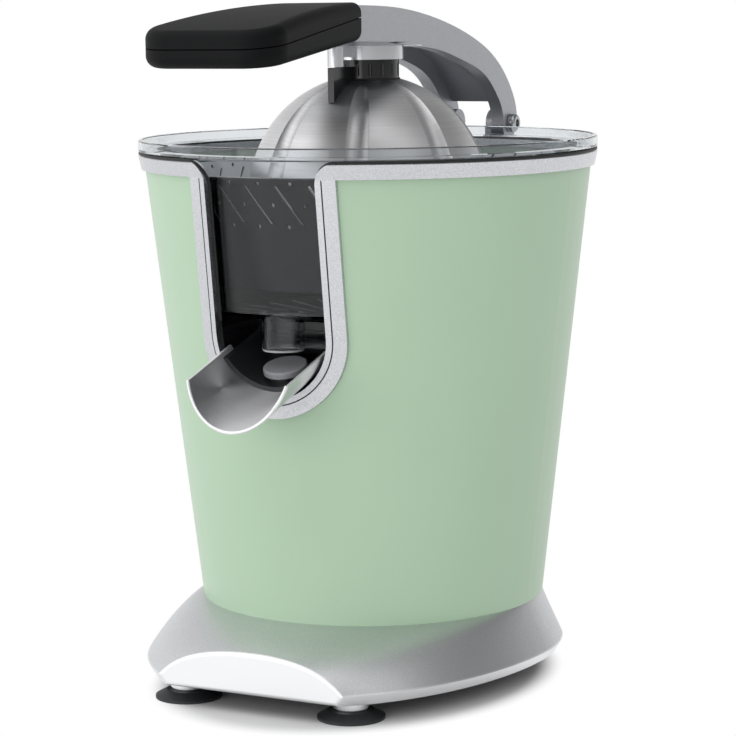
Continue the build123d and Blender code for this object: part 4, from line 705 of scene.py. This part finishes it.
# Sintered bronze bushes
SINTERED_BRONZE = TurnedMetal("sintered bronze", "#b98a4e", "#7d5a30", 0.6, 0.4)
# Galvanised motor brackets
GALVANISED = TurnedMetal("galvanised steel sheet", "#a9adb0", "#7f8487", 1.6, 0.38)
# Stacked motor sheets
MOTOR_SHEETS = BandedMetal("laminated motor steel")
# Enamelled copper wire
COPPER_WIRE = BandedMetal("enamelled copper wire", "#c77a45", "#7c3f1e", 0.8, 0.35)
# Natural white gear plastic
GEAR_ACETAL = MouldedPlastic("natural acetal", "#dcdad2", "#e6e4dd", 0.7, 0.01, 0.35, 1.48)


def dress(nodes: Iterable[str], finish: Finish) -> None:
    """Gives frame nodes a finish.

    Args:
        nodes: Names of the nodes.
        finish: Finish that they take.
    """
    for name in nodes:
        for slot in FRAME["nodes"][name].material_slots:
            slot.material = finish.material()
        log.info("%s: %s", name, finish.name)


def ring(radius: float, y: float, z: float, stations: int = 72) -> list[Vector]:
    """Returns a level closed circle.

    Args:
        radius: Radius of the circle, in millimetres.
        y: Place of its middle along the spout's direction.
        z: Height of the circle.
        stations: Number of points round it.

    Returns:
        The points, the first one repeated at the end.
    """
    turns = [2 * math.pi * i / stations for i in range(stations)]
    points = [Vector((math.sin(a) * radius, y - math.cos(a) * radius, z)) for a in turns]
    return points + [points[0].copy()]


BEAD_RESOLUTION = 3
BEAD_CREASE = math.radians(50.0)
CLOSED_GAP_MM = 0.01
WELD_MM = 0.001


def bead(name: str, path: Sequence[Vector], radius: float, body: str, finish: Finish) -> None:
    """Runs a round bead along a path and makes it a closed mesh that rides on a body.

    Args:
        name: Name of the new piece.
        path: Points of the bead's middle line, in millimetres.
        radius: Radius of the bead, in millimetres.
        body: Body that the bead moves with.
        finish: Finish of the bead.
    """
    curve = bpy.data.curves.new(name, "CURVE")
    curve.dimensions = "3D"
    curve.bevel_depth = radius * MM
    curve.bevel_resolution = BEAD_RESOLUTION
    curve.use_fill_caps = True
    closed = (path[0] - path[-1]).length < CLOSED_GAP_MM
    line = curve.splines.new("POLY")
    stations = path[:-1] if closed else path
    line.points.add(len(stations) - 1)
    for point, station in zip(line.points, stations):
        point.co = (*(station * MM), 1.0)
    line.use_cyclic_u = closed
    piece = bpy.data.objects.new(name, curve)
    bpy.context.scene.collection.objects.link(piece)
    bpy.ops.object.select_all(action="DESELECT")
    piece.select_set(True)
    bpy.context.view_layer.objects.active = piece
    bpy.ops.object.convert(target="MESH")
    bpy.ops.object.mode_set(mode="EDIT")
    bpy.ops.mesh.select_all(action="SELECT")
    bpy.ops.mesh.remove_doubles(threshold=WELD_MM * MM)
    bpy.ops.mesh.normals_make_consistent(inside=False)
    bpy.ops.object.mode_set(mode="OBJECT")
    bpy.ops.object.shade_smooth_by_angle(angle=BEAD_CREASE)
    piece = bpy.context.active_object
    piece.data.materials.clear()
    piece.data.materials.append(finish.material())
    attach(piece, body)
    log.info("%s: %s", name, finish.name)


@dataclass
class Assembly:
    """A group of pieces that are finished and completed together."""

    def dress(self) -> None:
        """Finishes the group's pieces."""
        raise NotImplementedError

    def build(self) -> None:
        """Adds what the frame leaves out, which is nothing unless a group says so."""


@dataclass
class Base(Assembly):
    """Flared base with its plate, feet and the gland for a lead."""

    def dress(self) -> None:
        """Finishes the base's pieces."""
        dress(["base_housing"], SPRAYED_ABS)
        dress(["base_plate"], BLACK_ABS)
        dress(["foot_stems"], SILVER_STEM)
        dress(["suction_cups", "cord_grommet"], BLACK_RUBBER)
        dress(["base_screws"], ZINC_STEEL)


@dataclass
class Body(Assembly):
    """Enamelled shell, its silver trim and the black pieces inside it."""

    bottom_radius: float = 83.0
    top_radius: float = 107.2
    bottom_z: float = 35.0
    top_z: float = 246.0
    seal_radius: float = 109.15
    seal_z: float = 249.65
    seal_bead: float = 0.75
    seal_inset: float = 2.6
    seal_clearance: float = 0.3
    side_steps: int = 8
    corner_steps: int = 10
    rim_steps: int = 150
    window_half: float = 28.6
    window_corner: float = 10.0
    window_foot_z: float = 176.0
    trim_top_z: float = 249.5
    window_arc_z: float = 170.0
    groove_offset: float = 2.9
    groove_proud: float = 1.5
    groove_top_z: float = 241.5
    groove_bead: float = 0.36
    groove_side_steps: int = 12
    groove_foot_steps: int = 48

    def wall_radius(self, z: float) -> float:
        """Returns the radius at height z on which the seal runs, just inside the shell's face."""
        share = (z - self.bottom_z) / (self.top_z - self.bottom_z)
        return self.bottom_radius + (self.top_radius - self.bottom_radius) * share - self.seal_inset

    def seal_point(self, x: float, z: float) -> Vector:
        """Returns a point of the seal on the curved front, at x and height z.

        Args:
            x: Place across the front, in millimetres.
            z: Height, in millimetres.

        Returns:
            The point, drawn out to the rim's radius near the top.
        """
        low = self.trim_top_z - self.window_corner
        share = min(1.0, max(0.0, (z - low) / (self.seal_z - low)))
        radius = self.wall_radius(z) * (1 - share) + self.seal_radius * share
        return Vector((x, -math.sqrt(radius * radius - x * x), z))

    def seal_path(self) -> list[Vector]:
        """Returns the seal's line: up one side of the window, round the rim and down the other side."""
        half = self.window_half - self.seal_clearance
        low = self.trim_top_z - self.window_corner
        climb = low - self.window_foot_z
        rise = [
            self.seal_point(half, self.window_foot_z + climb * i / self.side_steps)
            for i in range(self.side_steps + 1)
        ]
        turn = self.window_corner + self.seal_z - self.trim_top_z
        centre = half + turn
        corner = [
            self.seal_point(centre - turn * math.cos(a), low + turn * math.sin(a))
            for a in (math.pi / 2 * i / self.corner_steps for i in range(1, self.corner_steps + 1))
        ]
        start = math.asin(centre / self.seal_radius)
        sweep = 2 * (math.pi - start)
        rim = [
            Vector((math.sin(a) * self.seal_radius, -math.cos(a) * self.seal_radius, self.seal_z))
            for a in (start + sweep * i / self.rim_steps for i in range(1, self.rim_steps))
        ]
        left = [Vector((-p.x, p.y, p.z)) for p in reversed(rise + corner)]
        return rise + corner + rim + left

    def groove_path(self) -> list[Vector]:
        """Returns the line of the groove in the window frame: down one side, round the foot and up."""
        half = self.window_half + self.groove_offset
        drop = self.groove_top_z - self.window_arc_z
        steps = self.groove_side_steps
        side = [(half, self.groove_top_z - drop * i / steps) for i in range(steps)]
        foot = [
            (half * math.cos(a), self.window_arc_z - half * math.sin(a))
            for a in (math.pi * i / self.groove_foot_steps for i in range(self.groove_foot_steps + 1))
        ]
        path = []
        for x, z in side + foot + [(-x, z) for x, z in reversed(side)]:
            radius = self.wall_radius(z) + self.seal_inset + self.groove_proud
            path.append(Vector((x, -math.sqrt(radius * radius - x * x), z)))
        return path

    def build(self) -> None:
        """Lays the black seal round the rim and the window, and a black line in the window frame's groove
        that paints the groove's shade.
        """
        bead("rim_seal", self.seal_path(), self.seal_bead, "frame", SEAL_AND_GROOVE_SHADE)
        # Black bead in the groove: painted shade where the groove's shade falls
        bead("window_line", self.groove_path(), self.groove_bead, "frame", SEAL_AND_GROOVE_SHADE)

    def dress(self) -> None:
        """Finishes the body's pieces."""
        dress(["body_shell"], MINT_ENAMEL)
        dress(["trim_bezel"], TRIM_SILVER)
        dress(["hinge_bracket"], CAST_SILVER)
        dress(["motor_deck", "spout_niche"], BLACK_ABS)
        dress(["bracket_screws"], ZINC_STEEL)


@dataclass
class Tub(Assembly):
    """Clear juice bowl with its strainer and reamer."""

    nozzle_radius: float = 9.0
    nozzle_y: float = -84.3
    nozzle_z: float = 162.95
    nozzle_bead: float = 0.6

    def build(self) -> None:
        """Lays a pale grey bead round the nozzle's mouth, a painted highlight on its edge."""
        path = ring(self.nozzle_radius, self.nozzle_y, self.nozzle_z)
        bead("nozzle_edge", path, self.nozzle_bead, "frame", NOZZLE_EDGE_HIGHLIGHT)

    def dress(self) -> None:
        """Finishes the tub's pieces."""
        dress(["juice_bowl"], CLEAR_TUB)
        dress(["strainer"], SMOKE_BASKET)
        dress(["reamer_cone"], BLACK_ABS)


@dataclass
class PressHead(Assembly):
    """Steel dome that presses the fruit, and the collar that holds it."""

    seat_radius: float = 15.5
    seat_z: float = 283.3
    seat_bead: float = 0.55

    def build(self) -> None:
        """Lays the thin seal ring where the collar stands on the dome."""
        path = ring(self.seat_radius, 0.0, self.seat_z)
        bead("collar_seal", path, self.seat_bead, "lever", SEAL_AND_GROOVE_SHADE)

    def dress(self) -> None:
        """Finishes the press head's pieces."""
        dress(["press_dome"], SPUN_STEEL)
        dress(["dome_collar"], COLLAR_ACETAL)
        dress(["dome_screw"], ZINC_STEEL)


@dataclass
class Lever(Assembly):
    """Cast arm, palm grip and hinge."""

    def dress(self) -> None:
        """Finishes the lever's pieces."""
        dress(["lever_arm"], ARM_SILVER)
        dress(["grip_upper", "grip_lower"], SOFT_GRIP)
        dress(["grip_screws", "hinge_bolts"], ZINC_STEEL)
        dress(["hinge_bushes"], SINTERED_BRONZE)


@dataclass
class Spout(Assembly):
    """Tilting spout with its carrier and drip pad."""

    pivot_y: float = -63.5
    pivot_z: float = 162.3
    tilt: float = 17.0
    lean: float = 18.0
    arc_z: float = 18.0
    wall_radius: float = 26.8
    edge_z: float = 9.5
    mouth_y: float = -63.0
    lip_bead: float = 0.85
    lip_steps: int = 48

    def lip_path(self) -> list[Vector]:
        """Returns the line of the rolled lip along the spout's mouth, in its lowered pose."""
        slope = math.tan(math.radians(self.tilt + self.lean))
        reach = math.acos((self.arc_z - self.edge_z) / self.wall_radius)
        pose = Matrix.Translation((0.0, self.pivot_y, self.pivot_z)) @ Matrix.Rotation(
            math.radians(self.tilt), 4, "X"
        )
        path = []
        for i in range(self.lip_steps + 1):
            a = reach * (2 * i / self.lip_steps - 1)
            z = self.arc_z - self.wall_radius * math.cos(a)
            level = Vector((self.wall_radius * math.sin(a), self.mouth_y + (z - self.edge_z) * slope, z))
            path.append(pose @ level)
        return path

    def build(self) -> None:
        """Rolls the bright lip along the spout's mouth."""
        bead("spout_lip", self.lip_path(), self.lip_bead, "spout", BELT_STEEL)

    def dress(self) -> None:
        """Finishes the spout's pieces."""
        dress(["spout_trough"], BELT_STEEL)
        dress(["spout_carrier"], BLACK_ABS)
        dress(["drip_pad"], GREY_SILICONE)
        dress(["spout_pin"], ZINC_STEEL)


@dataclass
class Drive(Assembly):
    """Motor, gears, shaft and start switch inside the body."""

    leaf_foot_x: float = -36.0
    leaf_bend_x: float = -28.0
    leaf_flat_x: float = -18.0
    leaf_tip_x: float = -14.0
    leaf_low_z: float = 139.0
    leaf_high_z: float = 151.0
    leaf_width: float = 8.0
    leaf_sheet: float = 0.5
    leaf_bend: float = 1.5
    leaf_bend_segments: int = 4
    leaf_crease: float = 40.0
    press_stroke: float = 2.0
    press_gap: float = 0.1

    def pick(self, leaf: bpy.types.Object, low_x: float, high_x: float) -> None:
        """Selects the edges across the leaf between two places along it.

        Args:
            leaf: The leaf, in edit mode.
            low_x: Start of the stretch, in millimetres.
            high_x: End of the stretch, in millimetres.
        """
        mesh = bmesh.from_edit_mesh(leaf.data)
        for edge in mesh.edges:
            edge.select_set(all(low_x * MM < corner.co.x < high_x * MM for corner in edge.verts))
        mesh.select_flush_mode()
        bmesh.update_edit_mesh(leaf.data)

    def build(self) -> None:
        """Models the spring leaf in its raised shape; the real leaf flattens as the shaft is pressed down on
        it.
        """
        run = self.leaf_bend_x - self.leaf_foot_x
        middle = (self.leaf_bend_x + self.leaf_foot_x) / 2
        rise = self.leaf_high_z - self.leaf_sheet - self.leaf_low_z
        bpy.ops.object.select_all(action="DESELECT")
        bpy.ops.mesh.primitive_plane_add(size=1.0)
        leaf = bpy.context.active_object
        leaf.name = "leaf_spring"
        bpy.ops.object.mode_set(mode="EDIT")
        bpy.ops.mesh.select_mode(type="EDGE")
        bpy.ops.mesh.select_all(action="SELECT")
        bpy.ops.transform.resize(value=(run * MM, self.leaf_width * MM, 1.0))
        bpy.ops.transform.translate(value=(middle * MM, 0.0, self.leaf_low_z * MM))
        self.pick(leaf, middle, 0.0)
        for step_x, step_z in (
            (self.leaf_flat_x - self.leaf_bend_x, rise),
            (self.leaf_tip_x - self.leaf_flat_x, 0.0),
        ):
            move = {"value": (step_x * MM, 0.0, step_z * MM)}
            bpy.ops.mesh.extrude_region_move(TRANSFORM_OT_translate=move)
        self.pick(leaf, middle, (self.leaf_flat_x + self.leaf_tip_x) / 2)
        bpy.ops.mesh.bevel(offset=self.leaf_bend * MM, segments=self.leaf_bend_segments)
        bpy.ops.object.mode_set(mode="OBJECT")
        sheet = leaf.modifiers.new("sheet", "SOLIDIFY")
        sheet.thickness = self.leaf_sheet * MM
        sheet.offset = 1.0
        bpy.ops.object.modifier_apply(modifier=sheet.name)
        bpy.ops.object.shade_smooth_by_angle(angle=math.radians(self.leaf_crease))
        leaf.data.materials.append(ZINC_STEEL.material())
        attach(leaf, "frame")
        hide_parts("switch_leaf")
        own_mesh(leaf)
        log.info("leaf_spring: %s", ZINC_STEEL.name)

    def dress(self) -> None:
        """Finishes the drive's pieces."""
        dress(["motor_mounts", "shaft_seal"], BLACK_RUBBER)
        dress(["motor_lower_bracket", "motor_upper_bracket"], GALVANISED)
        dress(["motor_stator", "rotor_core"], MOTOR_SHEETS)
        dress(["motor_windings"], COPPER_WIRE)
        dress(["motor_bushes", "motor_pinion", "shaft_bush"], SINTERED_BRONZE)
        dress(["motor_bolts", "motor_shaft", "idler_pin", "gearbox_screws", "drive_shaft"], ZINC_STEEL)
        dress(["cooling_fan", "gearbox_cover", "start_switch"], BLACK_ABS)
        dress(["idler_gear", "output_gear", "shaft_collar", "switch_button"], GEAR_ACETAL)


@dataclass(frozen=True)
class Lamp:
    """A rectangular softbox aimed at the middle of the object, where a radiance of 1 is white."""

    name: str
    azimuth: float
    elevation: float
    distance: float
    width: float
    height: float
    radiance: float

    def hang(self, target: Vector) -> None:
        """Adds the lamp.

        Args:
            target: Point that the lamp faces, in metres.
        """
        around = math.radians(self.azimuth)
        up = math.radians(self.elevation)
        way = Vector((math.sin(around) * math.cos(up), -math.cos(around) * math.cos(up), math.sin(up)))
        data = bpy.data.lights.new(self.name, "AREA")
        data.shape = "RECTANGLE"
        data.size = self.width
        data.size_y = self.height
        data.energy = self.radiance * math.pi * self.width * self.height
        lamp = bpy.data.objects.new(self.name, data)
        lamp.location = target + self.distance * way
        lamp.rotation_euler = way.to_track_quat("Z", "Y").to_euler()
        bpy.context.scene.collection.objects.link(lamp)


@dataclass
class Studio:
    """White floor, soft lamps, a pale surround and the camera."""

    azimuth: float = 28.0
    distance: float = 1.25834
    eye_height: float = 0.31834
    pitch: float = 7.91
    yaw_trim: float = 0.057
    roll: float = -0.716
    lens: float = 127.83
    sensor_width: float = 36.0
    floor_reach: float = 14.0
    floor_tone: str = "#d0d0d0"
    # Ellipse on the floor that the shadow lies in, and where it starts and ends to fade
    shadow_middle: tuple[float, float, float] = (0.0075, -0.03, 0.0)
    shadow_half: tuple[float, float, float] = (0.0925, 0.115, 1.0)
    shadow_core: float = 0.87
    shadow_end: float = 1.03
    sky_fill: float = 0.73
    # The room behind the camera eases from dim on the right to pale on the left
    room_left: float = 0.78
    room_right: float = 0.2
    room_turn: float = 0.7
    # Heights over which the white surround ends, and turns over which it begins
    sky_heights: tuple[float, float] = (0.1, 0.62)
    sky_turns: tuple[float, float] = (0.1, 0.75)
    lamps: list[Lamp] = field(
        default_factory=lambda: [
            Lamp("left softbox", -60.0, 18.0, 1.9, 1.4, 1.8, 0.64),
            Lamp("top softbox", -30.0, 66.0, 1.8, 1.8, 1.8, 0.95),
            Lamp("front softbox", -14.0, 6.0, 1.7, 1.5, 0.8, 1.8),
            Lamp("right strip", 74.0, 40.0, 1.9, 0.8, 1.7, 0.9),
        ]
    )

    def set_camera(self) -> None:
        """Places the camera at the viewing angle of the picture."""
        around = math.radians(self.azimuth)
        data = bpy.data.cameras.new("camera")
        data.lens = self.lens
        data.sensor_width = self.sensor_width
        camera = bpy.data.objects.new("camera", data)
        place = Vector((math.sin(around) * self.distance, -math.cos(around) * self.distance, self.eye_height))
        turn = Matrix.Rotation(math.radians(self.azimuth + self.yaw_trim), 4, "Z")
        tip = Matrix.Rotation(math.radians(90.0 - self.pitch), 4, "X")
        roll = Matrix.Rotation(math.radians(self.roll), 4, "Z")
        camera.matrix_world = Matrix.Translation(place) @ turn @ tip @ roll
        bpy.context.scene.collection.objects.link(camera)
        bpy.context.scene.camera = camera

    def lay_floor(self) -> None:
        """Lays the floor, which keeps the shadow and is seen as white away from it."""
        bpy.ops.object.select_all(action="DESELECT")
        bpy.ops.mesh.primitive_plane_add(size=2 * self.floor_reach, location=(0.0, 0.0, 0.0))
        floor = bpy.context.active_object
        floor.name = "studio_floor"
        made = bpy.data.materials.new("white studio floor")
        made.use_nodes = True
        tree = made.node_tree
        tree.nodes.clear()
        place = add_node(tree, "ShaderNodeTexCoord", {}).outputs["Object"]
        ellipse = {"Vector": place, "Location": self.shadow_middle, "Scale": self.shadow_half}
        footprint = add_node(tree, "ShaderNodeMapping", ellipse, vector_type="TEXTURE").outputs["Vector"]
        away = add_node(tree, "ShaderNodeVectorMath", {0: footprint}, operation="LENGTH").outputs["Value"]
        fade = ease(tree, away, self.shadow_core, self.shadow_end)
        path = add_node(tree, "ShaderNodeLightPath", {}).outputs
        seen = calculate(tree, "MAXIMUM", path["Is Camera Ray"], path["Is Glossy Ray"])
        seen = calculate(tree, "MAXIMUM", seen, path["Is Transmission Ray"])
        share = calculate(tree, "MULTIPLY", fade, seen)
        matt = add_node(tree, "ShaderNodeBsdfDiffuse", {"Color": linear(self.floor_tone)}).outputs["BSDF"]
        glow = add_node(tree, "ShaderNodeEmission", {"Color": linear(WHITE), "Strength": 1.0})
        blend = add_node(tree, "ShaderNodeMixShader", {0: share, 1: matt, 2: glow.outputs["Emission"]})
        add_node(tree, "ShaderNodeOutputMaterial", {"Surface": blend.outputs["Shader"]})
        floor.data.materials.append(made)
        floor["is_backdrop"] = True

    def light_room(self) -> None:
        """Sets a white surround behind the object and a dimmer room behind the camera."""
        world = bpy.data.worlds.new("studio surround")
        bpy.context.scene.world = world
        world.use_nodes = True
        tree = world.node_tree
        tree.nodes.clear()
        around = math.radians(self.azimuth)
        behind = (-math.sin(around), math.cos(around), 0.0)
        left = (-math.cos(around), -math.sin(around), 0.0)
        way = add_node(tree, "ShaderNodeTexCoord", {}).outputs["Generated"]
        side = add_node(tree, "ShaderNodeVectorMath", {0: way, 1: left}, operation="DOT_PRODUCT")
        facing = add_node(tree, "ShaderNodeVectorMath", {0: way, 1: behind}, operation="DOT_PRODUCT")
        height = add_node(tree, "ShaderNodeSeparateXYZ", {"Vector": way}).outputs["Z"]
        turn = self.room_turn
        front = ease(tree, side.outputs["Value"], -turn, turn, self.room_right, self.room_left)
        low = ease(tree, height, *self.sky_heights, 1.0, 0.0)
        white = ease(tree, facing.outputs["Value"], *self.sky_turns, 0.0, low)
        room = mix_values(tree, white, front, 1.0)
        path = add_node(tree, "ShaderNodeLightPath", {}).outputs
        seen = calculate(tree, "MAXIMUM", path["Is Camera Ray"], path["Is Transmission Ray"])
        gloss = mix_values(tree, path["Is Glossy Ray"], self.sky_fill, room)
        level = mix_values(tree, seen, gloss, 1.0)
        sky = add_node(tree, "ShaderNodeBackground", {"Color": linear(WHITE), "Strength": level})
        add_node(tree, "ShaderNodeOutputWorld", {"Surface": sky.outputs["Background"]})

    def build(self, low: Vector, high: Vector) -> None:
        """Sets up the whole studio.

        Args:
            low: Lowest corner of the object.
            high: Highest corner of the object.
        """
        self.set_camera()
        self.lay_floor()
        self.light_room()
        for lamp in self.lamps:
            lamp.hang((low + high) / 2)
        bpy.context.scene.view_settings.view_transform = "Standard"


def main() -> None:
    """Dresses every sub-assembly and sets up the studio."""
    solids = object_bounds()
    for assembly in (Base(), Body(), Tub(), PressHead(), Lever(), Spout(), Drive()):
        assembly.dress()
        assembly.build()
        log.info("%s done", type(assembly).__name__)
    Studio().build(Vector(solids[0]), Vector(solids[1]))


if __name__ == "__main__":
    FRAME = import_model()
    main()
